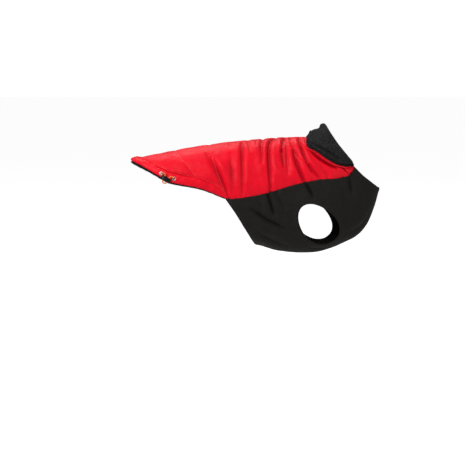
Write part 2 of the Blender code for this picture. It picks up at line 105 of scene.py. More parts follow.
ARMHOLE = (19, 124)
ARMHOLE_REACH = (39, 27)

# Creases from the upper end through a middle point to the lower end. Lean above 0 makes the
# rear side of a trough the steeper one, and a negative depth is a ridge.
# along, angle, along, angle, along, angle, spread, depth, lean
CREASES_RIGHT = (
    (-123, 27, -130, 61, -139, 87, 4.5, 2.6, 0.3),
    (-119, 36, -124, 63, -136, 86, 4.0, 4.2, 0.4),
    (-106, 14, -111, 59, -131, 90, 7.0, -3.0, 0.0),
    (-84, 44, -100, 63, -124, 86, 5.0, 2.4, -0.2),
    (-72, 30, -88, 52, -104, 74, 6.0, 1.8, 0.2),
    (-30, 2, -62, 47, -108, 87, 5.5, 4.6, 0.3),
    (-50, 42, -72, 63, -96, 84, 7.0, -2.2, 0.0),
    (-20, -12, -26, 16, -31, 36, 4.5, 2.8, 0.3),
    (14, -14, -1, 24, -25, 53, 5.0, 3.6, 0.3),
    (42, -12, -2, 44, -46, 86, 5.0, 5.4, 0.4),
    (-26, 52, -38, 66, -46, 82, 7.0, -1.8, 0.0),
    (60, -8, 44, 22, 26, 41, 4.0, 4.6, 0.4),
    (47, 14, 37, 28, 30, 37, 4.5, -1.6, 0.0),
    (36, 32, 24, 48, 14, 61, 4.5, 4.0, 0.2),
    (55, 14, 38, 41, 13, 68, 5.0, 3.0, 0.3),
    (3, 54, -1, 65, 13, 71, 6.0, -3.0, 0.0),
    (46, 40, 36, 56, 34, 72, 6.0, -2.0, 0.0),
    (56, 36, 42, 62, 39, 80, 5.5, 6.0, 0.4),
    (90, 2, 70, 44, 64, 70, 4.0, 5.0, 0.3),
    (60, 20, 58, 36, 60, 54, 5.0, 2.4, 0.3),
    (67, 58, 69, 67, 73, 77, 4.5, 3.6, 0.2),
    (78, 52, 78, 62, 82, 72, 6.0, -1.4, 0.0),
    (92, 62, 90, 70, 91, 78, 5.0, 1.6, 0.2),
    # Trough under the collar's red edge, deep so that the fold shade paints the edge's shadow there
    (89, 43, 101, 60.5, 114, 74, 3.4, 7.5, 0.3),
    (119, 74, 120, 80, 120, 87, 2.2, 2.0, 0.4),
    (-60, -2, -64, 12, -70, 26, 6.0, 1.6, 0.2),
    (0, -4, -6, 14, -12, 26, 5.0, 1.8, 0.3),
    (40, -4, 36, 8, 28, 18, 5.0, 2.0, 0.3),
    (70, -4, 66, 10, 60, 22, 5.0, 2.2, 0.3),
)
CREASES_LEFT = (
    (-140, -16, -138, -50, -142, -84, 5.0, 2.4, 0.3),
    (-112, -24, -121, -58, -133, -86, 4.5, 4.4, 0.4),
    (-92, -8, -104, -44, -120, -82, 7.0, -2.6, 0.0),
    (-64, -14, -84, -52, -108, -85, 6.0, 4.2, 0.3),
    (-46, -30, -62, -52, -76, -74, 7.0, -1.8, 0.0),
    (-30, -2, -58, -40, -88, -72, 5.0, 4.4, 0.3),
    (-4, -6, -16, -26, -30, -44, 4.5, 2.4, 0.2),
    (20, -4, -8, -42, -42, -84, 5.5, 5.0, 0.4),
    (46, -8, 30, -34, 8, -60, 5.0, 3.4, 0.3),
    (26, -50, 18, -62, 4, -72, 6.0, -2.4, 0.0),
    (62, -18, 50, -46, 36, -80, 5.5, 5.2, 0.4),
    (44, -52, 36, -62, 32, -74, 6.0, -1.6, 0.0),
    (84, -12, 72, -40, 62, -66, 4.5, 3.4, 0.3),
    # Trough under the collar's red edge, deep so that the fold shade paints the edge's shadow there
    (88, -42, 101, -60, 114, -74, 3.4, 6.5, 0.3),
    (92, -56, 88, -66, 90, -77, 5.0, 2.8, 0.2),
    (-78, -34, -88, -48, -96, -64, 6.0, 1.8, 0.2),
    (117, -74, 119, -79, 119, -87, 2.4, 2.0, 0.4),
)
# Creases of the chest halves
CREASES_CHEST_RIGHT = (
    (-47, 80, -53, 92, -61, 106, 4.5, 3.6, 0.3),
    (38, 75, 39, 83, 37, 93, 4.5, 3.8, 0.3),
    (-104, 97, -83, 110, -51, 120, 8.0, 3.6, -0.4),
    (-112, 112, -92, 124, -56, 128, 9.0, -2.0, 0.0),
    (-32, 80, -32, 90, -33, 101, 6.0, 1.8, 0.2),
    (66, 78, 66, 86, 63, 94, 7.0, 1.2, 0.2),
    (119, 90, 114, 97, 107, 106, 6.0, 2.6, 0.2),
    (119, 108, 111, 119, 101, 131, 9.0, -2.4, 0.0),
    (100, 92, 94, 102, 86, 112, 9.0, 1.2, 0.0),
    (-120, 128, -100, 140, -66, 146, 8.0, 1.8, 0.0),
    (-76, 88, -82, 98, -92, 106, 7.0, 1.2, 0.0),
    (60, 142, 84, 150, 112, 150, 9.0, 1.6, 0.0),
    (-26, 150, -10, 158, 20, 162, 8.0, 1.4, 0.0),
)
CREASES_CHEST_LEFT = (
    (-38, -79, -48, -94, -58, -110, 4.5, 3.2, 0.3),
    (35, -76, 33, -85, 30, -95, 4.5, 3.4, 0.3),
    (-98, -99, -74, -109, -45, -115, 6.0, 3.2, -0.4),
    (-106, -114, -86, -124, -54, -126, 9.0, -1.8, 0.0),
    (-18, -80, -20, -92, -24, -102, 6.0, 1.8, 0.2),
    (70, -79, 70, -88, 66, -97, 7.0, 1.4, 0.2),
    (117, -91, 110, -102, 100, -113, 6.0, 2.4, 0.2),
    (-112, -134, -90, -144, -58, -148, 8.0, 1.8, 0.0),
    (64, -140, 88, -148, 114, -146, 9.0, 1.5, 0.0),
    (-70, -88, -78, -97, -88, -104, 7.0, 1.3, 0.0),
)
# Quilting, from the right flank over the spine to the left flank. along, angle
QUILTING = (
    ((-177, 64), (-183, 0), (-176, -62)),
    ((-139, 86), (-105, 0), (-138, -85)),
)
# The height of a crease's shoulders, the reach and share of its sharp bottom, and the gain of all
CREASE_SHOULDER = 0.5
CREASE_SHARP = 1.9
CREASE_SHARP_SHARE = 0.5
CREASE_GAIN = 1.4
CREASE_STEPS = 14
# A crease's width at its ends and how much more it has in the middle, as shares of its spread
CREASE_END_WIDTH = 0.62
CREASE_WIDENS = 0.5
# A gather's reach and how far it varies, as shares, and the pitch of that in pitches
PUCKER_REACH = 0.75
PUCKER_VARIES = 0.45
PUCKER_DRIFT = 2.7

# Eyelets, cord lock and cord on the right side of the casing
EYELETS = (("eyelet_rear", -247, 56.4), ("eyelet_front", -227.4, 64.7))
LOCK_PLACE = (-244, 64.5)
LOCK_OUT = 9.6
LOCK_TILT = 29
LOCK_SUNK = 1.1
LOCK_SIDES = 40
LOCK_STATIONS = 61
LOCK_HALF_HEIGHT = 5.0
LOCK_HALF_DEPTH = 3.7
# Groove along the outer face. depth, height above the middle, reach, distance from the ends
LOCK_GROOVE = (0.55, 0.6, 0.9, 3.0)
LOCK_HOLE_PLACE = 5
LOCK_HOLE_RADIUS = 1.75
# Width of the rolled rim, half its height and its middle above the cloth
EYELET_RIM = 2.1
EYELET_ROLL = 0.75
EYELET_MIDDLE = 0.35
# Cord from the rear eyelet through the lock and back, seen from the middle of the lock.
# forward, up, out
CORD_ROUTE = (
    (-14.9, 5.4, -4.6),
    (-14.6, 5.6, -2.3),
    (-13.3, 6.4, -0.4),
    (-10.9, 7.8, 0.7),
    (-8.0, 8.3, 0.7),
    (-5.7, 6.9, 0.3),
    (-5.0, 4.3, 0.0),
    (-5.0, 0.0, 0.0),
    (-5.0, -4.2, 0.0),
    (-4.9, -6.2, -0.2),
    (-3.4, -9.0, -0.7),
    (0.0, -10.4, -1.0),
    (3.4, -9.0, -0.7),
    (4.9, -6.2, -0.2),
    (5.0, -4.2, 0.0),
    (5.0, 0.0, 0.0),
    (5.0, 4.3, 0.0),
    (5.8, 7.2, 0.3),
    (8.2, 8.9, 0.8),
    (11.2, 8.9, 0.7),
    (13.5, 8.2, -0.4),
    (14.3, 7.8, -2.2),
    (14.4, 7.7, -4.2),
)

CORD_STEPS = 240
CORD_SIDES = 24
# Strands that run round the cord each way, how far they turn for each mm of cord in radians,
# and the height of their relief
BRAID_STRANDS = 4
BRAID_TURN = 1.6
BRAID_RELIEF = 0.07

# Photo's camera: it looks at a point from azimuth, elevation and distance
CAMERA_TARGET = (-0.1257, 0.0, -0.2091)
CAMERA_AZIMUTH = -4.0
CAMERA_ELEVATION = 8.2
CAMERA_DISTANCE = 2.415
CAMERA_LENS = 85
CAMERA_SENSOR = 36
# Square soft lights that face the camera's target. name, place from the target and size in metres
LIGHTS = (
    ("key", (-1.25, -1.15, 1.5), 1.0),
    ("fill", (1.4, -1.4, 0.8), 1.5),
    ("top", (-0.2, 0.9, 1.7), 1.2),
)
FLOOR_HALF = 30.0
FLOOR_GLOW = 0.84


# ---------------------------------------------------------------- the smooth skin

def through(rows, at):
    """Smooth curve through rows, whose first column is the place, read at each place."""
    table = np.array(rows, float)
    knots = table[:, 0]
    values = table[:, 1:]
    last = len(knots) - 1
    before = np.maximum(np.arange(last + 1) - 1, 0)
    after = np.minimum(np.arange(last + 1) + 1, last)
    slopes = (values[after] - values[before]) / (knots[after] - knots[before])[:, None]
    at = np.asarray(at, float)
    cell = np.clip(np.searchsorted(knots, at, side="right") - 1, 0, last - 1)
    step = (knots[cell + 1] - knots[cell])[..., None]
    t = (at - knots[cell])[..., None] / step
    start = (2 * t**3 - 3 * t**2 + 1) * values[cell] + (t**3 - 2 * t**2 + t) * step * slopes[cell]
    end = (3 * t**2 - 2 * t**3) * values[cell + 1] + (t**3 - t**2) * step * slopes[cell + 1]
    return start + end


def skin(places):
    """Inner face of the smooth jacket at an array of (along, angle)."""
    places = np.asarray(places, float)
    row = through(SECTIONS, places[..., 0])
    turn = np.radians(places[..., 1])
    share = (1 - np.cos(turn)) / 2
    x = row[..., 0] + (row[..., 2] - row[..., 0]) * share
    z = row[..., 1] + (row[..., 3] - row[..., 1]) * share
    z = z - row[..., 5] * np.maximum(np.cos(turn), 0) ** 6
    x = x - row[..., 6] * np.maximum(-np.cos(turn), 0) ** 2
    y = -row[..., 4] * np.sin(turn) * (1 + FULL_ABOVE * np.cos(turn))
    return np.stack((x, y, z), axis=-1)


def unit(vectors):
    """The vectors made 1 long."""
    return vectors / np.linalg.norm(vectors, axis=-1, keepdims=True)


def blend(share, first, second):
    """The first where the share is 0, the second where it is 1, and a mix in between."""
    return (1 - share) * first + share * second


def running_length(points):
    """Length of a line of points, from its start to each of them."""
    steps = np.linalg.norm(np.diff(points, axis=0), axis=1)
    return np.concatenate(([0], np.cumsum(steps)))


def full_turn(count):
    """Angles all round, in radians."""
    return np.linspace(0, 2 * math.pi, count, endpoint=False)


def directions(places):
    """Change of the skin per mm along and per degree round, and its outward normal."""
    places = np.asarray(places, float)
    forward = skin(places + (0.5, 0)) - skin(places - (0.5, 0))
    around = skin(places + (0, 0.5)) - skin(places - (0, 0.5))
    return forward, around, unit(np.cross(around, forward))


def raised(base, outward, out):
    """Points out mm from a base along its normals."""
    return base + outward * np.asarray(out, float)[..., None]


def lifted(places, out):
    """Points out mm above the smooth skin."""
    return raised(skin(places), directions(places)[2], out)


def by_number(rows, at):
    """Smooth curve through rows, whose places are their own numbers from 0."""
    return through([(number, *row) for number, row in enumerate(rows)], at)


def trace(rows, shares):
    """Places at the given shares of the real length of the smooth line through rows."""
    fine = np.linspace(0, len(rows) - 1, TRACE_STEPS * len(rows))
    length = running_length(skin(by_number(rows, fine)))
    return by_number(rows, np.interp(np.asarray(shares) * length[-1], length, fine))


def traced(rows, cells):
    """Places that divide the whole of such a line into equal cells."""
    return trace(rows, np.linspace(0, 1, cells + 1))


def beside(line, distance):
    """The line moved sideways on the skin by real millimetres, to its left from outside."""
    forward, around, outward = directions(line)
    heading = unit(np.gradient(skin(line), axis=0))
    move = np.cross(outward, heading) * np.reshape(distance, (-1, 1))
    ff = (forward * forward).sum(-1)
    aa = (around * around).sum(-1)
    fa = (forward * around).sum(-1)
    fm = (forward * move).sum(-1)
    am = (around * move).sum(-1)
    scale = ff * aa - fa * fa
    return line + np.stack((fm * aa - am * fa, am * ff - fm * fa), axis=-1) / scale[:, None]


def mirrored(line):
    """The same places on the other side of the spine."""
    return line * (1, -1)


def over_the_back(rows):
    """Rows of a line that runs from the right side over the spine to the left side."""
    return tuple(rows) + tuple((along, -angle) for along, angle in reversed(rows[:-1]))


def line_distance(points, line):
    """Distance from a line in mm, place along it, which side points are on, and its length."""
    nearest = np.full(points.shape[:-1], np.inf)
    place = np.zeros(points.shape[:-1])
    side = np.zeros(points.shape[:-1])
    done = 0.0
    for start, end in zip(line[:-1], line[1:]):
        run = end - start
        length = math.sqrt(run @ run)
        part = np.clip((points - start) @ run / (run @ run), 0, 1)
        offset = points - start - part[..., None] * run
        gap = np.linalg.norm(offset, axis=-1)
        closer = gap < nearest
        nearest = np.where(closer, gap, nearest)
        place = np.where(closer, done + part * length, place)
        side = np.where(closer, offset[..., 0], side)
        done += length
    return nearest, place, side, done


def from_line(points, line):
    """Distance of points from a line in mm."""
    return line_distance(points, line)[0]


# ---------------------------------------------------------------- relief of the cloth

def fade_out(place, length):
    """1 in the middle of a line, fading to 0 at its two ends."""
    return np.sqrt(np.clip(np.sin(math.pi * place / length), 0, 1))


def crease_height(points, rows):
    """Height in mm that the creases of a table give to points of the smooth skin."""
    height = np.zeros(points.shape[:-1])
    t = np.linspace(0, 1, CREASE_STEPS)[:, None]
    for row in rows:
        first, middle, last = np.reshape(row[:6], (3, 2))
        spread, depth, lean = row[6:]
        bend = 2 * middle - (first + last) / 2
        line = skin((1 - t) ** 2 * first + 2 * t * (1 - t) * bend + t**2 * last)
        gap, place, side, length = line_distance(points, line)
        fade = fade_out(place, length)
        width = spread * (CREASE_END_WIDTH + CREASE_WIDENS * fade)
        width = width * (1 + np.where(side < 0, -0.5, 0.5) * lean)
        r = gap / width
        soft = (1 - CREASE_SHOULDER * r**2) * np.exp(-(r**2) / 2)
        sharp = np.exp((1 - np.hypot(gap, 1)) / CREASE_SHARP) if depth > 0 else 0.0
        height -= depth * fade * (soft * (1 - CREASE_SHARP_SHARE) + sharp * CREASE_SHARP_SHARE)
    return height * CREASE_GAIN


def uneven(at, pitch, seed):
    """Smooth uneven wave along a line, from -1 to 1, about one swing for each pitch."""
    drawn = np.random.default_rng(seed)
    count = int(np.max(at) / pitch) + 4
    knots = (np.arange(count) - 1 + drawn.uniform(-0.3, 0.3, count)) * pitch
    heights = drawn.uniform(-1, 1, count)
    heights[::2] = np.abs(heights[::2])
    heights[1::2] = -np.abs(heights[1::2])
    cell = np.clip(np.searchsorted(knots, at) - 1, 0, count - 2)
    t = np.clip((at - knots[cell]) / (knots[cell + 1] - knots[cell]), 0, 1)
    t = t * t * (3 - 2 * t)
    return heights[cell] * (1 - t) + heights[cell + 1] * t


def puckers(points, line, pitch, reach, depth, seed):
    """Short uneven gathers that run out from a seam."""
    gap, place, _, _ = line_distance(points, line)
    wave = uneven(place, pitch, seed)
    length = reach * (PUCKER_REACH + PUCKER_VARIES * uneven(place, PUCKER_DRIFT * pitch, seed + 1))
    return depth * wave * np.exp(-((gap / length) ** 1.5))


def mottled(points, size, depth, seed):
    """Low soft bumps of the given size in mm all over the cloth."""
    flat = points.reshape(-1, 3) / size + seed
    values = [noise.noise(Vector(p)) for p in flat]
    return depth * np.reshape(values, points.shape[:-1])


def gathers(points, line, rows, seeds=0):
    """Gathers of several sizes, their seeds counted from seeds. pitch, reach, depth, seed"""
    return sum(puckers(points, line, pitch, reach, depth, seeds + seed)
               for pitch, reach, depth, seed in rows)


def bumps(points, rows):
    """Bumps of several sizes. size, depth, seed"""
    return sum(mottled(points, *row) for row in rows)


def bell(distance, reach):
    """1 at a line, falling smoothly to nothing about two reaches away."""
    return np.exp(-((distance / reach) ** 2))


def edge_fall(gap, thickness, reach):
    """How far a cloth's face sinks towards its edge, round and within reach mm."""
    share = np.clip(1 - gap / reach, 0, 1)
    return thickness * (1 - np.sqrt(1 - share**2 * 0.99))


def lowest_near(heights, reach):
    """The lowest height within reach cells of each cell of a grid."""
    rows, columns = heights.shape
    padded = np.pad(heights, reach, mode="edge")
    windows = [padded[i:i + rows, j:j + columns]
               for i in range(2 * reach + 1) for j in range(2 * reach + 1)]
    return np.min(windows, axis=0)


def smooth_step(x):
    """0 below 0, 1 above 1, smooth in between."""
    t = np.clip(x, 0, 1)
    return t * t * (3 - 2 * t)


def within(distance, reach, soft):
    """1 nearer than reach mm and 0 further off, over a soft step."""
    return 1 - smooth_step((distance - reach) / soft)


def painted_fold_shade(height, begins, reach):
    """Mask of painted shade: 0 on open cloth, 1 in a fold that is reach mm deeper than where folds begin."""
    return smooth_step((-begins - height) / reach)


def squared(wave, power):
    """A sine or cosine made fuller at its ends."""
    return np.sign(wave) * np.abs(wave) ** power


# ---------------------------------------------------------------- meshes

# A piece is looked for from so far outside the skin, and so far inwards
PROBE_OUT = 40.0
PROBE_DEPTH = 60.0


def new_mesh(name, points, faces, uv=None):
    """Smooth mesh of points in mm and, where given, a UV map in centimetres of cloth."""
    mesh = bpy.data.meshes.new(name)
    mesh.from_pydata((points.reshape(-1, 3) * MM).tolist(), [], faces)
    mesh.shade_smooth()
    if uv is not None:
        corners = np.empty(len(mesh.loops), int)
        mesh.loops.foreach_get("vertex_index", corners)
        layer = mesh.uv_layers.new(name="cloth")
        layer.data.foreach_set("uv", uv.reshape(-1, 2)[corners].astype(np.float32).ravel())
    return mesh


def link(name, mesh, *materials):
    """Object of the jacket with its materials."""
    piece = bpy.data.objects.new(name, mesh)
    bpy.context.scene.collection.objects.link(piece)
    for surface in materials:
        mesh.materials.append(surface)
    return piece


def grid_faces(rows, columns, wrap, start=0):
    """Quads of a grid whose last column may join the first."""
    number = np.arange(rows * columns).reshape(rows, columns) + start
    if wrap:
        number = np.concatenate((number, number[:, :1]), axis=1)
    quads = np.stack((number[:-1, :-1], number[:-1, 1:], number[1:, 1:], number[1:, :-1]), axis=-1)
    return quads.reshape(-1, 4)


def rim_faces(outer, inner):
    """Quads between matching border vertices of two layers."""
    return np.stack((outer[:-1], inner[:-1], inner[1:], outer[1:]), axis=-1)


def shell(name, outer, inner, places, surface, wrap=False, hollow=None):
    """Closed cloth wall between an outer and an inner grid of points in mm.

    hollow says, from 0 to 1, how deep in a fold each outer point lies; it darkens the base colour as painted
    shade.
    """
    rows, columns = outer.shape[:2]
    count = rows * columns
    number = np.arange(count).reshape(rows, columns)
    if wrap:
        borders = [np.append(number[0], number[0][0]), np.append(number[-1], number[-1][0])[::-1]]
    else:
        borders = [number[0], number[-1][::-1], number[::-1, 0], number[:, -1]]
    faces = np.concatenate((
        grid_faces(rows, columns, wrap), grid_faces(rows, columns, wrap, count)[:, ::-1],
        *(rim_faces(border, border + count) for border in borders)))
    normal = np.cross(outer[1, 0] - outer[0, 1], outer[1, 1] - outer[0, 0])
    if normal @ (outer[0, 0] - inner[0, 0]) < 0:
        faces = faces[:, ::-1]
    mesh = new_mesh(name, np.stack((outer, inner)), faces.tolist(), np.stack((cloth_uv(places),) * 2))
    # The hollow attribute carries the painted shade to the material.
    if hollow is not None:
        values = np.concatenate((np.clip(hollow, 0, 1).ravel(), np.zeros(count))).astype(np.float32)
        mesh.attributes.new("hollow", "FLOAT", "POINT").data.foreach_set("value", values)
    return link(name, mesh, surface)


def tube(name, rings, uv, surface):
    """Closed band through rings of points in mm."""
    rows, columns = rings.shape[:2]
    faces = grid_faces(rows, columns, True).tolist()
    faces += [list(range(columns))[::-1], list(range((rows - 1) * columns, rows * columns))]
    ring = rings[rows // 2]
    ahead = rings[rows // 2 + 1, 0] - ring[0]
    if np.cross(ring[1] - ring[0], ahead) @ (ring[0] - ring.mean(0)) < 0:
        faces = [face[::-1] for face in faces]
    return link(name, new_mesh(name, rings, faces, uv), surface)


def cloth_uv(places):
    """UV in centimetres of cloth from (along, angle)."""
    return np.stack((places[..., 0] / 10, places[..., 1] * 0.135), axis=-1)


def surface_of(piece):
    """Tree for finding points on a piece."""
    bpy.context.view_layer.update()
    return BVHTree.FromObject(piece, bpy.context.evaluated_depsgraph_get())


def on_piece(tree, places, lift=0.0):
    """Points in mm on a finished piece above places of the skin, seen from outside."""
    found = []
    for point, normal in zip(lifted(places, PROBE_OUT), directions(places)[2]):
        hit = tree.ray_cast(Vector(point) * MM, -Vector(normal), PROBE_DEPTH * MM)[0]
        if hit is not None:
            found.append(np.array(hit) / MM + normal * lift)
    return np.array(found)


def keep(piece):
    """A piece attached to the one body."""
    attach(piece, BODY)
    return piece


# ---------------------------------------------------------------- shader groups

def once(library, name):
    """Decorator: a node group or a material is built only where the file has none of that name."""
    def wrap(build):
        def get(*values):
            return getattr(bpy.data, library).get(name) or build(name, *values)
        return get
    return wrap


def wire(tree, *pairs):
    """Connect each output to its input."""
    for output, socket in pairs:
        tree.links.new(output, socket)


def new_group(name, kind, inputs, outputs):
    """Node group with named sockets, and the nodes at its two ends."""
    tree = bpy.data.node_groups.new(name, kind)
    for label, holds, value in inputs:
        socket = tree.interface.new_socket(name=label, in_out="INPUT", socket_type="NodeSocket" + holds)
        if value is not None:
            socket.default_value = value
    for label, holds in outputs:
        tree.interface.new_socket(name=label, in_out="OUTPUT", socket_type="NodeSocket" + holds)
    return tree, tree.nodes.new("NodeGroupInput"), tree.nodes.new("NodeGroupOutput")


def maths(tree, operation, *values, clamp=False):
    """Math node fed by sockets or numbers."""
    node = tree.nodes.new("ShaderNodeMath")
    node.operation = operation
    node.use_clamp = clamp
    for socket, value in zip(node.inputs, values):
        if isinstance(value, (int, float)):
            socket.default_value = value
        else:
            tree.links.new(value, socket)
    return node.outputs[0]


def map_range(tree, value, **limits):
    """A value moved from one range to another, each from 0 to 1 where it isn't given."""
    node = tree.nodes.new("ShaderNodeMapRange")
    for label, limit in limits.items():
        node.inputs[label.replace("_", " ")].default_value = limit
    tree.links.new(value, node.inputs["Value"])
    return node.outputs[0]


@once("node_groups", "cloth_weave")
def weave_group(name):
    """Plain weave: threads over and under, with a height and a mask of the gaps."""
    tree, start, end = new_group(
        name, "ShaderNodeTree", (("Vector", "Vector", None), ("Threads", "Float", 20.0)),
        (("Height", "Float"), ("Gaps", "Float")))
    scaled = tree.nodes.new("ShaderNodeVectorMath")
    scaled.operation = "SCALE"
    split = tree.nodes.new("ShaderNodeSeparateXYZ")
    wire(tree, (start.outputs["Vector"], scaled.inputs[0]),
         (start.outputs["Threads"], scaled.inputs["Scale"]), (scaled.outputs[0], split.inputs[0]))
    across, down = (maths(tree, "SINE", maths(tree, "MULTIPLY", split.outputs[axis], math.pi))
                    for axis in "XY")
    over = maths(tree, "MULTIPLY", across, down)
    gap = maths(tree, "MULTIPLY", maths(tree, "ABSOLUTE", across), maths(tree, "ABSOLUTE", down))
    wire(tree, (maths(tree, "MULTIPLY_ADD", over, 0.5, 0.5), end.inputs["Height"]),
         (maths(tree, "SUBTRACT", 1.0, gap, clamp=True), end.inputs["Gaps"]))
    return tree


@once("node_groups", "cloth_unevenness")
def unevenness_group(name):
    """Soft cloudy value from 0 to 1, for colour and gloss."""
    tree, start, end = new_group(
        name, "ShaderNodeTree", (("Vector", "Vector", None), ("Scale", "Float", 20.0),
                                 ("Detail", "Float", 3.0)), (("Value", "Float"),))
    cloud = tree.nodes.new("ShaderNodeTexNoise")
    wire(tree, *((start.outputs[label], cloud.inputs[label]) for label in ("Vector", "Scale", "Detail")))
    value = map_range(tree, cloud.outputs["Fac"], From_Min=0.3, From_Max=0.7)
    tree.links.new(value, end.inputs["Value"])
    return tree


@once("node_groups", "cloth_nap")
def nap_group(name):
    """Brushed pile: small tufts of uneven size, with a height and a mask of their tips."""
    tree, start, end = new_group(
        name, "ShaderNodeTree", (("Vector", "Vector", None), ("Scale", "Float", 900.0)),
        (("Height", "Float"), ("Tips", "Float")))
    tuft = tree.nodes.new("ShaderNodeTexNoise")
    for label, value in (("Detail", 4.0), ("Roughness", 0.65), ("Distortion", 0.6)):
        tuft.inputs[label].default_value = value
    lump = tree.nodes.new("ShaderNodeTexVoronoi")
    for node, factor in ((tuft, 1.0), (lump, 0.6)):
        wire(tree, (start.outputs["Vector"], node.inputs["Vector"]),
             (maths(tree, "MULTIPLY", start.outputs["Scale"], factor), node.inputs["Scale"]))
    hollow = maths(tree, "MULTIPLY", lump.outputs["Distance"], 0.5)
    height = maths(tree, "SUBTRACT", tuft.outputs["Fac"], hollow)
    wire(tree, (height, end.inputs["Height"]),
         (map_range(tree, height, From_Min=0.15, From_Max=0.5), end.inputs["Tips"]))
    return tree


class Finish:
    """A Principled material under construction."""

    def __init__(self, name, roughness, **plain):
        self.material = bpy.data.materials.new(name)
        self.material.use_nodes = True
        self.tree = self.material.node_tree
        self.shader = self.tree.nodes["Principled BSDF"]
        self.shader.inputs["Roughness"].default_value = roughness
        for label, value in plain.items():
            self.shader.inputs[label.replace("_", " ")].default_value = value
        self.coordinates = self.tree.nodes.new("ShaderNodeTexCoord")
        self.bump = None

    def place(self, group, source, **values):
        """Outputs of a shader group in this material, with its own values."""
        node = self.tree.nodes.new("ShaderNodeGroup")
        node.node_tree = group
        self.tree.links.new(self.coordinates.outputs[source], node.inputs["Vector"])
        for label, value in values.items():
            node.inputs[label].default_value = value
        return node.outputs

    def mix(self, factor, first, second, blend="MIX"):
        """Two colours, each a value or an output, mixed by a mask."""
        node = self.tree.nodes.new("ShaderNodeMix")
        node.data_type = "RGBA"
        node.blend_type = blend
        for label, value in (("A", first), ("B", second)):
            if isinstance(value, tuple):
                node.inputs[label].default_value = (*value, 1)
            else:
                self.tree.links.new(value, node.inputs[label])
        self.tree.links.new(factor, node.inputs["Factor"])
        return node.outputs["Result"]

    def feed(self, output, label):
        """Connect an output to the shader."""
        self.tree.links.new(output, self.shader.inputs[label])

    def feed_colour(self, mask, low, high, painted_fold_shade=None):
        """Base colour between two colours by a mask, times a painted shade colour where the hollow attribute
        marks a fold or seam.
        """
        colour = self.mix(mask, low, high)
        # Painted shade: the hollow attribute multiplies the base colour towards the shade colour.
        if painted_fold_shade:
            depth = self.tree.nodes.new("ShaderNodeAttribute")
            depth.attribute_name = "hollow"
            colour = self.mix(depth.outputs["Fac"], colour, painted_fold_shade, "MULTIPLY")
        self.feed(colour, "Base Color")

    def feed_roughness(self, mask, low, high):
        """Roughness between two values by a mask."""
        self.feed(map_range(self.tree, mask, To_Min=low, To_Max=high), "Roughness")

    def add_bump(self, height, distance, strength):
        """One more layer of bump, over those made before."""
        node = self.tree.nodes.new("ShaderNodeBump")
        node.inputs["Distance"].default_value = distance
        node.inputs["Strength"].default_value = strength
        self.tree.links.new(height, node.inputs["Height"])
        if self.bump:
            self.tree.links.new(self.bump.outputs[0], node.inputs["Normal"])
        self.feed(node.outputs[0], "Normal")
        self.bump = node


def shaded(colour, factor):
    """A colour made darker or lighter."""
    return tuple(min(1.0, channel * factor) for channel in colour)


@once("materials", "red_nylon_cloth")
def nylon_material(name, colour):
    """Satin red nylon: dense plain weave, cloudy gloss, faint crumples, and painted shade in its folds."""
    made = Finish(name, 0.4, Sheen_Weight=0.04, Sheen_Roughness=0.4, Sheen_Tint=(1.0, 0.3, 0.3, 1.0),
                  Specular_IOR_Level=0.2, Specular_Tint=(1.0, 0.5, 0.5, 1.0))
    weave = made.place(weave_group(), "UV", Threads=30.0)
    cloud = made.place(unevenness_group(), "Object", Scale=26.0, Detail=2.0)
    crumple = made.place(unevenness_group(), "Object", Scale=110.0, Detail=4.0)
    # Painted shade: darker red where the hollow attribute marks folds and the casing seam.
    made.feed_colour(cloud[0], shaded(colour, 0.93), shaded(colour, 1.05), painted_fold_shade=(0.6, 0.1, 0.6))
    made.feed_roughness(crumple[0], 0.38, 0.5)
    made.add_bump(crumple[0], 0.0005, 0.5)
    made.add_bump(weave["Height"], 0.00006, 0.6)
    return made.material


@once("materials", "black_softshell_cloth")
def softshell_material(name, colour):
    """Matte black stretch softshell with a fine close weave, and painted shade in its folds."""
    made = Finish(name, 0.72, Sheen_Weight=0.03, Sheen_Roughness=0.5,
                  Sheen_Tint=(0.9, 0.87, 0.8, 1.0), Specular_IOR_Level=0.14)
    weave = made.place(weave_group(), "UV", Threads=18.0)
    cloud = made.place(unevenness_group(), "Object", Scale=60.0, Detail=5.0)
    # Painted shade: darker where the hollow attribute marks folds.
    made.feed_colour(cloud[0], shaded(colour, 0.85), shaded(colour, 1.2), painted_fold_shade=(0.2, 0.2, 0.2))
    made.feed_roughness(cloud[0], 0.66, 0.8)
    made.add_bump(cloud[0], 0.0003, 0.4)
    made.add_bump(weave["Height"], 0.00012, 0.8)
    return made.material


@once("materials", "black_fleece_cloth")
def fleece_material(name, colour):
    """Black fleece with a short brushed pile, and painted shade in the collar's groove and creases."""
    made = Finish(name, 0.92, Sheen_Weight=0.03, Sheen_Roughness=0.6,
                  Sheen_Tint=(0.9, 0.9, 0.92, 1.0), Specular_IOR_Level=0.08)
    nap = made.place(nap_group(), "Object", Scale=560.0)
    cloud = made.place(unevenness_group(), "Object", Scale=70.0, Detail=4.0)
    # Painted shade: darker where the hollow attribute marks the collar's groove and creases.
    made.feed_colour(nap["Tips"], shaded(colour, 0.45), shaded(colour, 1.7), painted_fold_shade=(0.15, 0.15, 0.15))
    made.feed_roughness(cloud[0], 0.85, 0.98)
    made.add_bump(cloud[0], 0.0004, 0.5)
    made.add_bump(nap["Height"], 0.0008, 1.0)
    return made.material


def thread_material(name, colour):
    """Twisted sewing thread."""
    found = bpy.data.materials.get(name)
    if found:
        return found
    made = Finish(name, 0.55, Sheen_Weight=0.2)
    twist = made.place(unevenness_group(), "Object", Scale=1800.0, Detail=1.0)
    made.feed_colour(twist[0], shaded(colour, 0.7), shaded(colour, 1.1))
    made.add_bump(twist[0], 0.0001, 0.7)
    return made.material


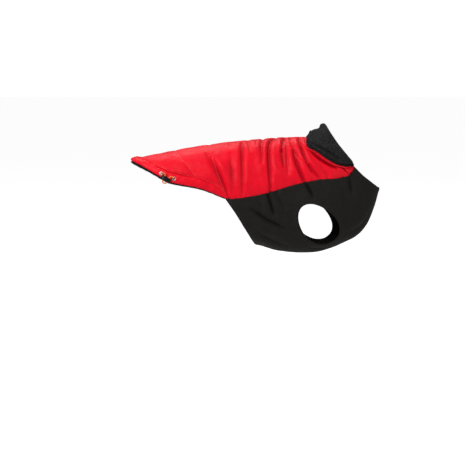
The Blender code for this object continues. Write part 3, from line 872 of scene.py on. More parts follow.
@once("materials", "nickel_plate")
def nickel_material(name, colour):
    """Nickel plate with faint wear."""
    made = Finish(name, 0.25, Metallic=1.0)
    wear = made.place(unevenness_group(), "Object", Scale=700.0, Detail=5.0)
    made.feed_colour(wear[0], shaded(colour, 0.8), shaded(colour, 1.05))
    made.feed_roughness(wear[0], 0.2, 0.38)
    made.add_bump(wear[0], 0.00004, 0.5)
    return made.material


@once("materials", "black_moulded_plastic")
def plastic_material(name, colour):
    """Moulded black plastic with a fine matte grain."""
    made = Finish(name, 0.3, Specular_IOR_Level=0.24)
    grain = made.place(unevenness_group(), "Object", Scale=2500.0, Detail=2.0)
    wear = made.place(unevenness_group(), "Object", Scale=300.0, Detail=4.0)
    made.feed_colour(wear[0], shaded(colour, 0.8), shaded(colour, 1.5))
    made.feed_roughness(wear[0], 0.2, 0.36)
    made.add_bump(grain[0], 0.00005, 0.6)
    return made.material


@once("materials", "orange_braid")
def cord_material(name, colour):
    """Braided orange elastic cord, its braid running by the cord's own UV map."""
    made = Finish(name, 0.65, Sheen_Weight=0.08)
    weave = made.place(weave_group(), "UV", Threads=1.0)
    cloud = made.place(unevenness_group(), "Object", Scale=500.0, Detail=2.0)
    made.feed_colour(weave["Gaps"], shaded(colour, 1.1), shaded(colour, 0.78))
    made.feed_roughness(cloud[0], 0.55, 0.75)
    made.add_bump(weave["Height"], 0.0002, 0.8)
    return made.material


@once("materials", "barrel_shadow")
def eyelet_shadow_material(name):
    """Painted shadow: the near-black colour of the disc that stands for the shade inside an eyelet's hole.
    """
    made = Finish(name, 0.9, Specular_IOR_Level=0.1)
    cloud = made.place(unevenness_group(), "Object", Scale=900.0, Detail=2.0)
    made.feed_colour(cloud[0], (0.006, 0.005, 0.005), (0.015, 0.012, 0.012))
    return made.material


# ---------------------------------------------------------------- sewing

@once("node_groups", "stitches")
def stitch_tree(name):
    """Geometry Nodes that lay one thread stitch after another on lines."""
    tree, start, end = new_group(name, "GeometryNodeTree", (
        ("Lines", "Geometry", None), ("Pitch", "Float", 0.003), ("Length", "Float", 0.0022),
        ("Thread", "Float", 0.0003), ("Material", "Material", None)), (("Stitches", "Geometry"),))
    curve, resample, tangent, turn, ball, sizes, place, real, smooth, dress = map(tree.nodes.new, (
        "GeometryNodeMeshToCurve", "GeometryNodeResampleCurve", "GeometryNodeInputTangent",
        "FunctionNodeAlignRotationToVector", "GeometryNodeMeshUVSphere", "ShaderNodeCombineXYZ",
        "GeometryNodeInstanceOnPoints", "GeometryNodeRealizeInstances", "GeometryNodeSetShadeSmooth",
        "GeometryNodeSetMaterial"))
    resample.mode = "LENGTH"
    turn.axis = "X"
    for label, value in (("Segments", 8), ("Rings", 5), ("Radius", 1.0)):
        ball.inputs[label].default_value = value
    half_length = maths(tree, "MULTIPLY", start.outputs["Length"], 0.5)
    half_thread = maths(tree, "MULTIPLY", start.outputs["Thread"], 0.5)
    wire(tree,
         (start.outputs["Lines"], curve.inputs[0]),
         (curve.outputs[0], resample.inputs["Curve"]),
         (start.outputs["Pitch"], resample.inputs["Length"]),
         (resample.outputs[0], place.inputs["Points"]),
         (tangent.outputs[0], turn.inputs["Vector"]),
         (turn.outputs[0], place.inputs["Rotation"]),
         (ball.outputs["Mesh"], place.inputs["Instance"]),
         (half_length, sizes.inputs["X"]),
         (half_thread, sizes.inputs["Y"]),
         (half_thread, sizes.inputs["Z"]),
         (sizes.outputs[0], place.inputs["Scale"]),
         (place.outputs[0], real.inputs[0]),
         (real.outputs[0], smooth.inputs[0]),
         (smooth.outputs[0], dress.inputs["Geometry"]),
         (start.outputs["Material"], dress.inputs["Material"]),
         (dress.outputs[0], end.inputs[0]))
    return tree


def sew(name, lines, surface, *, pitch, length, thread):
    """Stitches along lines of points in mm, as one plain mesh. The sizes are in mm too."""
    verts, edges = [], []
    for line in lines:
        start = len(verts)
        verts += (np.asarray(line) * MM).tolist()
        edges += [(start + i, start + i + 1) for i in range(len(line) - 1)]
    mesh = bpy.data.meshes.new(name + "_lines")
    mesh.from_pydata(verts, edges, [])
    guide = link(name + "_lines", mesh)
    tree = stitch_tree()
    nodes = guide.modifiers.new("stitches", "NODES")
    nodes.node_group = tree
    values = {"Pitch": pitch * MM, "Length": length * MM, "Thread": thread * MM, "Material": surface}
    for socket in tree.interface.items_tree:
        if socket.in_out == "INPUT" and socket.name in values:
            nodes[socket.identifier] = values[socket.name]
    bpy.context.view_layer.update()
    seen = guide.evaluated_get(bpy.context.evaluated_depsgraph_get())
    made = bpy.data.meshes.new_from_object(seen)
    made.name = name
    piece = link(name, made)
    if surface.name not in [m.name for m in made.materials if m]:
        made.materials.clear()
        made.materials.append(surface)
    bpy.data.objects.remove(guide)
    return piece


# ---------------------------------------------------------------- settings

class JacketCloth(bpy.types.PropertyGroup):
    """Walls and colours of the cloth."""

    back_wall: bpy.props.FloatProperty(
        name="Back wall", description="Thickness of the padded back with its lining",
        default=0.003, min=0.001, max=0.006, unit="LENGTH")
    chest_wall: bpy.props.FloatProperty(
        name="Chest wall", description="Thickness of the softshell",
        default=0.0018, min=0.001, max=0.004, unit="LENGTH")
    fleece_wall: bpy.props.FloatProperty(
        name="Fleece wall", description="Thickness of the collar's fleece",
        default=0.0024, min=0.001, max=0.005, unit="LENGTH")
    red: bpy.props.FloatVectorProperty(
        name="Red", description="Colour of the nylon", subtype="COLOR",
        default=(0.86, 0.0045, 0.02), min=0, max=1)
    softshell: bpy.props.FloatVectorProperty(
        name="Softshell", description="Colour of the chest", subtype="COLOR",
        default=(0.0128, 0.0119, 0.0102), min=0, max=1)
    fleece: bpy.props.FloatVectorProperty(
        name="Fleece", description="Colour of the collar and lining", subtype="COLOR",
        default=(0.0205, 0.02, 0.0205), min=0, max=1)


class JacketTrim(bpy.types.PropertyGroup):
    """Sizes and colours of the cord, the hardware and the sewing."""

    cord: bpy.props.FloatProperty(
        name="Cord", description="Diameter of the elastic cord",
        default=0.0026, min=0.001, max=0.005, unit="LENGTH")
    lock_length: bpy.props.FloatProperty(
        name="Lock length", description="Length of the cord lock",
        default=0.0235, min=0.01, max=0.04, unit="LENGTH")
    eyelet: bpy.props.FloatProperty(
        name="Eyelet", description="Outer radius of an eyelet",
        default=0.0042, min=0.002, max=0.008, unit="LENGTH")
    stitch_pitch: bpy.props.FloatProperty(
        name="Stitch pitch", description="Distance from one stitch to the next",
        default=0.003, min=0.0015, max=0.006, unit="LENGTH")
    orange: bpy.props.FloatVectorProperty(
        name="Orange", description="Colour of the cord", subtype="COLOR",
        default=(1.0, 0.235, 0.04), min=0, max=1)
    nickel: bpy.props.FloatVectorProperty(
        name="Nickel", description="Colour of the eyelets", subtype="COLOR",
        default=(0.62, 0.6, 0.57), min=0, max=1)
    plastic: bpy.props.FloatVectorProperty(
        name="Plastic", description="Colour of the cord lock", subtype="COLOR",
        default=(0.005, 0.0055, 0.0055), min=0, max=1)


class JacketStage(bpy.types.PropertyGroup):
    """Floor and lights."""

    floor_height: bpy.props.FloatProperty(
        name="Floor height", description="Height of the floor below the jacket",
        default=-0.52, min=-1, max=-0.3, unit="LENGTH")
    key_power: bpy.props.FloatProperty(
        name="Key power", description="Power of the main soft light", default=37, min=0, unit="POWER")
    fill_power: bpy.props.FloatProperty(
        name="Fill power", description="Power of the light from the front right", default=10, min=0,
        unit="POWER")
    top_power: bpy.props.FloatProperty(
        name="Top power", description="Power of the light from above", default=13, min=0, unit="POWER")
    surround: bpy.props.FloatProperty(
        name="Surround", description="Strength of the light from all round", default=0.18, min=0)
    paper: bpy.props.FloatVectorProperty(
        name="Paper", description="Colour of the floor and the background", subtype="COLOR",
        default=(1.0, 1.0, 1.0), min=0, max=1)


# ---------------------------------------------------------------- stage and cord

def look_from(azimuth, elevation):
    """Direction from what is looked at to the viewer."""
    a = math.radians(azimuth)
    e = math.radians(elevation)
    return Vector((math.sin(a) * math.cos(e), -math.cos(a) * math.cos(e), math.sin(e)))


class JACKET_OT_stage(bpy.types.Operator):
    """Camera at the photo's angle, pale floor and soft studio light"""

    bl_idname = "jacket.stage"
    bl_label = "Stage"

    def execute(self, context):
        stage = context.scene.jacket_stage
        context.scene.view_settings.view_transform = "Standard"
        back = look_from(CAMERA_AZIMUTH, CAMERA_ELEVATION)
        lens = bpy.data.cameras.new("camera")
        lens.lens = CAMERA_LENS
        lens.sensor_width = CAMERA_SENSOR
        camera = bpy.data.objects.new("camera", lens)
        camera.location = Vector(CAMERA_TARGET) + back * CAMERA_DISTANCE
        camera.rotation_euler = (-back).to_track_quat("-Z", "Y").to_euler()
        context.scene.collection.objects.link(camera)
        context.scene.camera = camera
        self.add_floor(stage)
        for name, place, size in LIGHTS:
            self.add_light(context, name, Vector(place), size, getattr(stage, name + "_power"))
        self.add_surround(context, stage)
        return {"FINISHED"}

    def add_surround(self, context, stage):
        """Even light from all round in front of a white background."""
        world = bpy.data.worlds.new("studio")
        world.use_nodes = True
        tree = world.node_tree
        light = tree.nodes["Background"]
        backdrop = tree.nodes.new("ShaderNodeBackground")
        for node in (light, backdrop):
            node.inputs["Color"].default_value = (*stage.paper, 1)
        light.inputs["Strength"].default_value = stage.surround
        ray = tree.nodes.new("ShaderNodeLightPath")
        mix = tree.nodes.new("ShaderNodeMixShader")
        wire(tree, (ray.outputs["Is Camera Ray"], mix.inputs[0]), (light.outputs[0], mix.inputs[1]),
             (backdrop.outputs[0], mix.inputs[2]),
             (mix.outputs[0], tree.nodes["World Output"].inputs["Surface"]))
        context.scene.world = world

    def add_floor(self, stage):
        """One pale sheet, large enough to fill every view, that glows for the camera alone."""
        mesh = bpy.data.meshes.new("floor")
        corners = [(x * FLOOR_HALF, y * FLOOR_HALF, stage.floor_height)
                   for x, y in ((-1, -1), (1, -1), (1, 1), (-1, 1))]
        mesh.from_pydata(corners, [], [(0, 1, 2, 3)])
        paper = Finish("floor_paper", 0.9, Emission_Color=(1, 1, 1, 1))
        ray = paper.tree.nodes.new("ShaderNodeLightPath")
        glow = maths(paper.tree, "MULTIPLY", ray.outputs["Is Camera Ray"], FLOOR_GLOW)
        paper.feed(glow, "Emission Strength")
        cloud = paper.place(unevenness_group(), "Object", Scale=1.5, Detail=2.0)
        paper.feed_colour(cloud[0], (0.70, 0.70, 0.70), (0.72, 0.72, 0.72))
        link("floor", mesh, paper.material)

    def add_light(self, context, name, place, size, power):
        """Square soft light at a place from the camera's target, which it faces."""
        lamp = bpy.data.lights.new(name, "AREA")
        lamp.size = size
        lamp.energy = power
        light = bpy.data.objects.new(name, lamp)
        light.location = Vector(CAMERA_TARGET) + place
        light.rotation_euler = (-place).to_track_quat("-Z", "Y").to_euler()
        context.scene.collection.objects.link(light)


def seat(along, angle, out, tilt=0.0):
    """Placement on the cloth: local X forward and down by tilt, Y up, Z outward."""
    place = np.array((along, angle), float)
    outward = directions(place)[2]
    origin = skin(place) + outward * out
    outward = Vector(outward)
    level = Vector((1, 0, 0))
    level = (level - outward * level.dot(outward)).normalized()
    down = level.cross(outward)
    lean = math.radians(tilt)
    x = level * math.cos(lean) + down * math.sin(lean)
    y = outward.cross(x)
    matrix = Matrix((x, y, outward)).transposed().to_4x4()
    matrix.translation = Vector(origin) * MM
    return matrix


def moved(placed, points):
    """Local points in mm, moved to their place on the cloth."""
    return np.array([placed @ (Vector(p) * MM) for p in points.reshape(-1, 3)]).reshape(points.shape) / MM


class JACKET_OT_drawcord(bpy.types.Operator):
    """Braided elastic cord from eyelet to eyelet through the lock"""

    bl_idname = "jacket.drawcord"
    bl_label = "Drawcord"

    def execute(self, context):
        trim = context.scene.jacket_trim
        local = by_number(CORD_ROUTE, np.linspace(0, len(CORD_ROUTE) - 1, CORD_STEPS))
        path = moved(seat(*LOCK_PLACE, LOCK_OUT, LOCK_TILT), local)
        ahead = unit(np.gradient(path, axis=0))
        length = running_length(path)
        turn = full_turn(CORD_SIDES)
        side = np.cross(ahead[0], (0.0, 0.0, 1.0))
        rings, uv = [], []
        for place, heading, done in zip(path, ahead, length):
            side = unit(side - heading * (side @ heading))
            up = np.cross(heading, side)
            strand, on = BRAID_STRANDS * turn, BRAID_TURN * done
            braid = np.cos(strand + on) * np.cos(strand - on)
            radius = (trim.cord / MM / 2 + BRAID_RELIEF * (braid - 0.5))[:, None]
            rings.append(place + radius * (np.cos(turn)[:, None] * side + np.sin(turn)[:, None] * up))
            around = strand / math.pi
            uv.append(np.stack((around + done, around - done), axis=-1))
        cord = tube("drawcord_braid", np.array(rings), np.array(uv), cord_material(trim.orange))
        keep(cord)
        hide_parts("drawcord")
        context.scene["cord_exit"] = list(path[0] * MM)
        context.scene["cord_path"] = json.dumps((path * MM).tolist())
        context.scene["cord_length"] = float(length[-1] * MM)
        return {"FINISHED"}


# ---------------------------------------------------------------- back panel

BACK_HEM_CELLS = 80
BACK_SEAM_CELLS = 160
BACK_TAIL_CELLS = 170
TAIL_SHARE = 0.10
BACK_LEAN = 70
SEAM_LAP = 0.5
LINE_CELLS = 59
CASING_LINE_CELLS = 109
LINING_WALL = 0.9
LINING_GAP = 0.2
LINING_RELIEF = 0.9
LEAST_PADDING = 0.3
# Painted shade of the back's colour: it begins so deep in a fold, is full so much deeper, and reaches so far
# from the casing seam
BACK_FOLD_SHADE = (0.8, 5.0)
SEAM_SHADE_REACH = 1.6
BACK_END_SHARE = 0.004
BACK_CASING_LAP = 0.15
BACK_COLLAR_LAP = 0.5
# Quilting line: depth and reach of its sharp bottom and of its round shoulders
QUILT_SHARP = (1.0, 2.0)
QUILT_ROUND = (0.7, 9)
# Gathers along quilting, flanks and casing. pitch, reach, depth, seed
QUILT_GATHERS = ((5.0, 6.0, 0.35, 31),)
FLANK_GATHERS = ((9.0, 15.0, 1.0, 11), (4.0, 6.0, 0.35, 13))
BACK_CASING_GATHERS = ((7.0, 9.0, 0.55, 15),)
# Bumps all over. size, depth, seed
BACK_BUMPS = ((30.0, 1.3, 3.7), (11.0, 0.35, 9.1))
# How far the back sinks at the flank seams and at the casing, and within what reach
FLANK_FALL = (1.6, 4.5)
BACK_CASING_FALL = (3.2, 6.0)


def hem_shares(side_cells, tail_cells, end_share):
    """Stations of the hem, from near the right corner over the tail to near the left."""
    side = np.linspace(end_share, 0.5 - TAIL_SHARE, side_cells + 1)
    tail = np.linspace(0.5 - TAIL_SHARE, 0.5 + TAIL_SHARE, tail_cells + 1)
    return np.concatenate((side[:-1], tail, 1 - side[-2::-1]))


def back_places(hem_cells, seam_cells, tail_cells):
    """Places of the back panel, a Coons patch between tail, flanks and collar seam."""
    shares = hem_shares(hem_cells, tail_cells, BACK_END_SHARE)
    hem = beside(trace(over_the_back(CASING_SEAM), shares), -BACK_CASING_LAP)
    tail = hem[hem_cells:hem_cells + tail_cells + 1]
    seam = beside(traced(SIDE_SEAM, seam_cells), -SEAM_LAP)
    right = np.concatenate((hem[hem_cells::-1], seam))
    left = mirrored(right)
    neck = beside(traced(over_the_back(COLLAR_SEAM), tail_cells), BACK_COLLAR_LAP)
    neck[0] = right[-1]
    neck[-1] = left[-1]
    length = running_length(skin(right))
    u = (length / length[-1])[:, None, None]
    v = np.linspace(0, 1, tail_cells + 1)[None, :, None]
    across = blend(u, tail[None], neck[None])
    along = blend(v, right[:, None], left[:, None])
    corners = blend(u, blend(v, tail[0], tail[-1]), blend(v, neck[0], neck[-1]))
    lean = BACK_LEAN * 4 * v * (1 - v) * np.sin(math.pi * u) ** 2 * (1, 0)
    return across + along - corners + lean


def seam_lines():
    """Side seam of the right, that of the left, and casing seam, as points in mm."""
    side = skin(traced(SIDE_SEAM, LINE_CELLS))
    casing = skin(traced(over_the_back(CASING_SEAM), CASING_LINE_CELLS))
    return side, side * (1, -1, 1), casing


def back_relief(base):
    """Relief of the back from folds, quilting, gathers and bumps, and its painted shade in folds and seam.
    """
    right, left, casing = seam_lines()
    height = crease_height(base, CREASES_RIGHT + CREASES_LEFT)
    # Painted shade: darker colour in deep folds and along the casing seam, where shade falls.
    seam_shade = 0.9 * np.exp(-from_line(base, casing) / SEAM_SHADE_REACH)
    hollow = np.maximum(painted_fold_shade(height, *BACK_FOLD_SHADE), seam_shade)
    for rows in QUILTING:
        line = skin(traced(rows, LINE_CELLS))
        gap = from_line(base, line)
        height -= QUILT_SHARP[0] * np.exp(-gap / QUILT_SHARP[1]) + QUILT_ROUND[0] * bell(gap, QUILT_ROUND[1])
        height += gathers(base, line, QUILT_GATHERS)
    height += gathers(base, right, FLANK_GATHERS) + gathers(base, left, FLANK_GATHERS, 1)
    height += gathers(base, casing, BACK_CASING_GATHERS) + bumps(base, BACK_BUMPS)
    return height, hollow


class JACKET_OT_back(bpy.types.Operator):
    """Padded red back panel with its black lining"""

    bl_idname = "jacket.back"
    bl_label = "Back panel"

    def execute(self, context):
        cloth = context.scene.jacket_cloth
        places = back_places(BACK_HEM_CELLS, BACK_SEAM_CELLS, BACK_TAIL_CELLS)
        base = skin(places)
        outward = directions(places)[2]
        relief, hollow = back_relief(base)
        right, left, casing = seam_lines()
        outer = cloth.back_wall / MM + relief
        for line in (right, left):
            outer -= edge_fall(from_line(base, line), *FLANK_FALL)
        fall, reach = BACK_CASING_FALL
        outer -= fall * np.clip(1 - from_line(base, casing) / reach, 0, 1) ** 2
        inner = np.minimum(LINING_WALL + LINING_GAP + LINING_RELIEF * relief, outer - LEAST_PADDING)
        back = shell("back_padded", raised(base, outward, outer), raised(base, outward, inner), places,
                     nylon_material(cloth.red), hollow=hollow)
        keep(back)
        every_other = (slice(None, None, 2), slice(None, None, 2))
        top = lowest_near(inner - LINING_GAP, 2)[every_other]
        wall = base[every_other], outward[every_other]
        lining = shell("back_lining", raised(*wall, top), raised(*wall, top - LINING_WALL),
                       places[every_other], fleece_material(cloth.fleece))
        keep(lining)
        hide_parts("back_panel")
        return {"FINISHED"}


# ---------------------------------------------------------------- chest

CHEST_SEAM_CELLS = 124
CHEST_NECK_CELLS = 26
CHEST_MIDDLE_CELLS = 64
CHEST_HEM_CELLS = 40
CHEST_INWARD_CELLS = 60
HEM_BAND = 9.0
MIDDLE_LAP = 0.5
CHEST_GAIN = 1.35
CHEST_INNER_RELIEF = 0.95
# Painted shade of the softshell: it begins so deep in a fold and is full so much deeper
CHEST_FOLD_SHADE = (0.6, 5.5)
CHEST_RING_LEAN = 0.12
ARMHOLE_POINTS = 90
# Gathers along side seam, belly hem and armhole. pitch, reach, depth, seed
CHEST_SEAM_GATHERS = ((10.0, 13.0, 0.8, 21), (4.0, 5.0, 0.25, 24))
CHEST_HEM_GATHERS = ((16.0, 9.0, 0.5, 27),)
ARMHOLE_GATHERS = ((13.0, 9.0, 0.5, 33),)
# How far the chest sinks at its seams and at its turned edges, and within what reach
CHEST_SEAM_FALL = (1.0, 3.0)
CHEST_EDGE_FALL = (0.9, 1.6)
# Turned edges: how much thicker the band is, and depth, place and reach of its stitched groove
BAND_THICKER = 0.5
BAND_SOFT = 1.2
BAND_GROOVE = (0.4, HEM_BAND - 1.5, 0.8)


def chest_outline():
    """The right half's four edges, from the rear corner forward along the side seam."""
    seam = beside(traced(SIDE_SEAM, CHEST_SEAM_CELLS), SEAM_LAP)
    neck = traced(NECK_EDGE, CHEST_NECK_CELLS)
    middle = traced((NECK_EDGE[-1], BELLY_HEM[0]), CHEST_MIDDLE_CELLS) + (0, MIDDLE_LAP)
    hem = traced(BELLY_HEM, CHEST_HEM_CELLS)
    neck[0] = seam[-1]
    neck[-1] = middle[0]
    hem[0] = middle[-1]
    return seam, neck, middle, hem


def armhole(count):
    """Places round the right armhole, the last one on the first."""
    turn = np.radians(np.linspace(0, 360, count))
    return np.stack((np.cos(turn), np.sin(turn)), axis=-1) * ARMHOLE_REACH + ARMHOLE


def chest_places():
    """Rings of places from the outline in to the armhole."""
    seam, neck, middle, hem = chest_outline()
    outer = np.concatenate((seam[:-1], neck[:-1], middle[:-1], hem))
    inner = np.array(ARMHOLE) + unit((outer - ARMHOLE) / ARMHOLE_REACH) * ARMHOLE_REACH
    t = np.linspace(0, 1, CHEST_INWARD_CELLS + 1)
    t = (t + CHEST_RING_LEAN * np.sin(2 * math.pi * t) / (2 * math.pi))[:, None, None]
    return blend(t, outer[None], inner[None])


class JACKET_OT_chest(bpy.types.Operator):
    """Two softshell halves with turned hems round neck, belly and armholes"""

    bl_idname = "jacket.chest"
    bl_label = "Chest"

    def execute(self, context):
        cloth = context.scene.jacket_cloth
        for side, name, creases in (
                (1, "chest_right", CREASES_CHEST_RIGHT), (-1, "chest_left", CREASES_CHEST_LEFT)):
            places = chest_places() * (1, side)
            base = skin(places)
            outward = directions(places)[2]
            seam, neck, middle, hem, hole = (
                skin(line) * (1, side, 1) for line in (*chest_outline(), armhole(ARMHOLE_POINTS)))
            relief = crease_height(base, creases) * CHEST_GAIN
            # Painted shade: the softshell's colour darker in its folds.
            hollow = 0.85 * painted_fold_shade(relief, *CHEST_FOLD_SHADE)
            for line, rows in ((seam, CHEST_SEAM_GATHERS), (hem, CHEST_HEM_GATHERS),
                               (hole, ARMHOLE_GATHERS)):
                relief += gathers(base, line, rows, side)
            relief += bumps(base, ((36.0, 1.2, 5.3 + side), (13.0, 0.25, 2.2)))
            outer = cloth.chest_wall / MM + relief
            for line in (seam, middle):
                outer -= edge_fall(from_line(base, line), *CHEST_SEAM_FALL)
            depth, groove, reach = BAND_GROOVE
            for line in (neck, hem, hole):
                gap = from_line(base, line)
                outer += BAND_THICKER * within(gap, HEM_BAND, BAND_SOFT)
                outer -= depth * bell(gap - groove, reach)
                outer -= edge_fall(gap, *CHEST_EDGE_FALL)
            half = shell(name + "_softshell", raised(base, outward, outer),
                         raised(base, outward, relief * CHEST_INNER_RELIEF), places,
                         softshell_material(cloth.softshell), wrap=True, hollow=hollow)
            keep(half)
            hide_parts(name)
        return {"FINISHED"}


# ---------------------------------------------------------------- hem casing

CASING_SIDES = 28
CASING_FULL_WIDTH = 18
CASING_HALF_HEIGHT = 3.5
CASING_MIDDLE_OUT = 2.2
CASING_TAIL_SWELL = 0.6
CASING_LAP = 2.5
CASING_SIDE_CELLS = 150
CASING_TAIL_CELLS = 80
CASING_END_SHARE = 0.002
CASING_TAIL_REACH = 22
# Where the roll rises from the seam: from so far, to its middle height and to its full relief
CASING_RISES_FROM = 1.0
CASING_RISES_OVER = (5.0, 5.5)
# How round the roll's section is, along the cloth and outwards
CASING_ROUND = (0.9, 0.85)
# Gathers of the casing: near its seam, near its edge and all round. height, pitch, seed
CASING_GATHERS = ((1.1, 8.0, 41), (0.7, 12.0, 42), (0.7, 23.0, 43))
FACING_ROWS = 9
# The facing's upper edge as a share of the casing's width, and its gap below the roll
FACING_UPPER = 0.94
FACING_GAP = 0.4
# Waves of its edge and of its face. height, pitch, seed
FACING_EDGE_WAVE = (0.35, 9.0, 44)
FACING_FACE_WAVE = (0.3, 8.0, 45)
FACING_SHOWS = 2.6
FACING_WALL = 1.1
# Places where more of the facing shows, or less where below 0. angle, spread in degrees, mm
FACING_PULLED = ((64, 9, 1.6), (34, 16, 1.4), (0, 12, -2.0), (-30, 10, 4.0))


class JACKET_OT_hem(bpy.types.Operator):
    """Rolled casing round the rump and the black facing under it"""

    bl_idname = "jacket.hem"
    bl_label = "Hem"

    def execute(self, context):
        cloth = context.scene.jacket_cloth
        shares = hem_shares(CASING_SIDE_CELLS, CASING_TAIL_CELLS, CASING_END_SHARE)
        seam = trace(over_the_back(CASING_SEAM), shares)
        edge = trace(over_the_back(HEM_EDGE), shares)
        width = np.linalg.norm(skin(seam) - skin(edge), axis=1)
        length = running_length(skin(edge))
        seam = beside(seam, -np.clip(0.35 * width, 0.4, CASING_LAP))
        height = CASING_HALF_HEIGHT * np.clip(width / CASING_FULL_WIDTH, 0.25, 1)
        height = height + CASING_TAIL_SWELL * bell(edge[:, 1], CASING_TAIL_REACH)
        wave = np.cos(full_turn(CASING_SIDES))[None, :]
        share = (0.5 - 0.5 * squared(wave, CASING_ROUND[0]))[..., None]
        places = blend(share, seam[:, None], edge[:, None])
        rise = squared(np.sin(full_turn(CASING_SIDES)), CASING_ROUND[1])[None, :]
        gather = sum(more * uneven(length, pitch, seed)[:, None] * part for (more, pitch, seed), part
                     in zip(CASING_GATHERS, ((1 + wave) / 2, (1 - wave) / 2, 1)))
        gather = gather * np.clip(width / CASING_FULL_WIDTH, 0.2, 1)[:, None]
        past_seam = share[..., 0] * width[:, None] - CASING_RISES_FROM
        middle, full = (smooth_step(past_seam / reach) for reach in CASING_RISES_OVER)
        out = CASING_MIDDLE_OUT * middle + (height[:, None] + gather * (rise > 0)) * rise * full
        casing = tube("hem_casing_roll", lifted(places, out), cloth_uv(places), nylon_material(cloth.red))
        keep(casing)
        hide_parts("hem_casing")
        self.make_facing(cloth, edge, length, width)
        return {"FINISHED"}

    def make_facing(self, cloth, edge, length, width):
        """Black inner edge that shows below the casing."""
        high, pitch, seed = FACING_EDGE_WAVE
        shows = FACING_SHOWS + high * uneven(length, pitch, seed)
        for angle, spread, more in FACING_PULLED:
            shows = shows + more * bell(edge[:, 1] - angle, spread)
        t = np.linspace(0, 1, FACING_ROWS)[:, None, None]
        rows = blend(t, beside(edge, -FACING_UPPER * width)[None], beside(edge, shows)[None])
        high, pitch, seed = FACING_FACE_WAVE
        low = CASING_MIDDLE_OUT - CASING_HALF_HEIGHT - FACING_GAP - FACING_WALL
        low = low + high * uneven(length, pitch, seed)[None, :] * t[..., 0]
        facing = shell("hem_facing_edge", lifted(rows, low + FACING_WALL), lifted(rows, low), rows,
                       fleece_material(cloth.fleece))
        keep(facing)
        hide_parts("hem_facing")


# ---------------------------------------------------------------- collar

COLLAR_CELLS = 240
STAND_CELLS = 8
BEND_CELLS = 14
FLAP_CELLS = 34
BEND_RADIUS = 4.0
FLAP_EDGE_OUT = 7.6
FLAP_SWELL = 3.0
# A narrow flap lies lower: the least share of its height, and the widths of a full one
FLAP_LEAST = 0.45
FLAP_FULL_WIDTH = 16
FLAP_SWELL_WIDTH = 20
COLLAR_SEAM_LAP = 0.6
EDGE_SHOWS = 4.5
EDGE_HIDDEN = 9.0
EDGE_WALL = 1.2
EDGE_ROWS = 15
EDGE_GAP = 0.8
EDGE_CURL = 2.2
EDGE_WAVE = (0.25, 6.0, 51)
EDGE_FALL = (0.5, 1.4)
# The red layer stays hidden nearer the spine than this angle, and shows fully so far past it
EDGE_FROM_ANGLE = 29
EDGE_OVER_ANGLE = 9
COLLAR_END_SHARE = 0.006
# Where the flap lies lower and further forward on the left of the spine. angle, spread, mm
FLAP_SETTLED = (-26, 17, 2.0)
FLAP_AHEAD = (-26, 14, 7.0)
# Bumps of the flap, and smaller ones all over. size, depth, seed
FLAP_BUMPS = ((24.0, 1.1, 7.7),)
FLEECE_BUMPS = ((8.0, 0.25, 4.4),)
# The stitched edge: a thinner strip and a thicker band. thicker, up to, soft
EDGE_BANDS = ((-0.9, 3.2, 0.9), (0.9, 9.5, 1.6))
# Grooves where strip and band end. depth, from the edge, reach
EDGE_GROOVES = ((1.9, 4.4, 1.1), (1.6, 10.6, 1.6))
# Nape of the collar in the middle plane: a dent behind the roll and a swell before it, and
# their reach across. x, z, height, reach
NAPE_RELIEF = ((64.0, 18.5, -4.0, 5.5), (47.0, 9.0, 5.0, 10.0))
NAPE_ACROSS = 34
# The roll is pulled forward there. x, z, then the move in x and z
NAPE_PULL = ((76.0, 29.0), (7.5, 1.5))
# Reach of the pull down the neck and across it, and the way down the neck in x and z
NAPE_PULL_REACH = (42.0, 18.0)
NECK_WAY = (0.665, -0.747)
# Soft crease of the right half above the free edge, mirrored on the left. along, angle
COLLAR_CREASE = ((95, 32.5), (104.5, 39.8), (114, 48.3), (119, 58.3), (122.5, 69))
# Depth and reach of its round shoulders and of its sharp bottom
CREASE_ROUND = (2.3, 5.0)
CREASE_BOTTOM = (2.2, 1.7)
# Reach of the painted shade in the stitched groove and in the crease
GROOVE_SHADE_REACH = 1.7
CREASE_SHADE_REACH = 3.2
# How far the fleece sinks at the free edge, and within what reach
FLAP_FALL = (1.0, 1.8)
# Red facing of the front tip: upper rear, upper front and lower corner. along, angle
TIP = ((120.4, 74.0), (129.7, 90.6), (119.3, 87.6))
TIP_POINTS = 25
TIP_WIDTH = 14
TIP_LENGTH = 22
TIP_BED = 3.1
TIP_BED_RISE = 1.5
TIP_WALL = 1.2
TIP_FALL = (0.7, 1.6)
# Stitched groove of the tip. depth, from its edge, reach
TIP_GROOVE = (0.35, 2.2, 0.7)


def collar_lines(cells, end_share):
    """Places of the collar's seam, fold and free edge, and the flap's width there."""
    shares = np.linspace(end_share, 1 - end_share, cells + 1)
    seam = beside(trace(over_the_back(COLLAR_SEAM), shares), -COLLAR_SEAM_LAP)
    fold = trace(over_the_back(COLLAR_FOLD), shares)
    free = trace(over_the_back(COLLAR_FREE_EDGE), shares)
    angle, spread, ahead = FLAP_AHEAD
    free[:, 0] += ahead * bell(free[:, 1] - angle, spread)
    return seam, fold, free, np.linalg.norm(skin(fold) - skin(free), axis=1)


def flap_edge_out(width, angles):
    """Height of the free edge's middle above the skin, lower where the flap is narrow."""
    angle, spread, lower = FLAP_SETTLED
    settled = lower * bell(angles - angle, spread)
    full = np.clip(FLAP_LEAST + (1 - FLAP_LEAST) * width / FLAP_FULL_WIDTH, FLAP_LEAST, 1)
    return FLAP_EDGE_OUT * full - settled


def flap_out(share, top, width, angles):
    """Height of the flap's middle above the skin, from the fold to the free edge."""
    swell = FLAP_SWELL * np.clip(width / FLAP_SWELL_WIDTH, 0, 1) * np.sin(math.pi * share**1.5)
    return top + (flap_edge_out(width, angles) - top) * share + swell


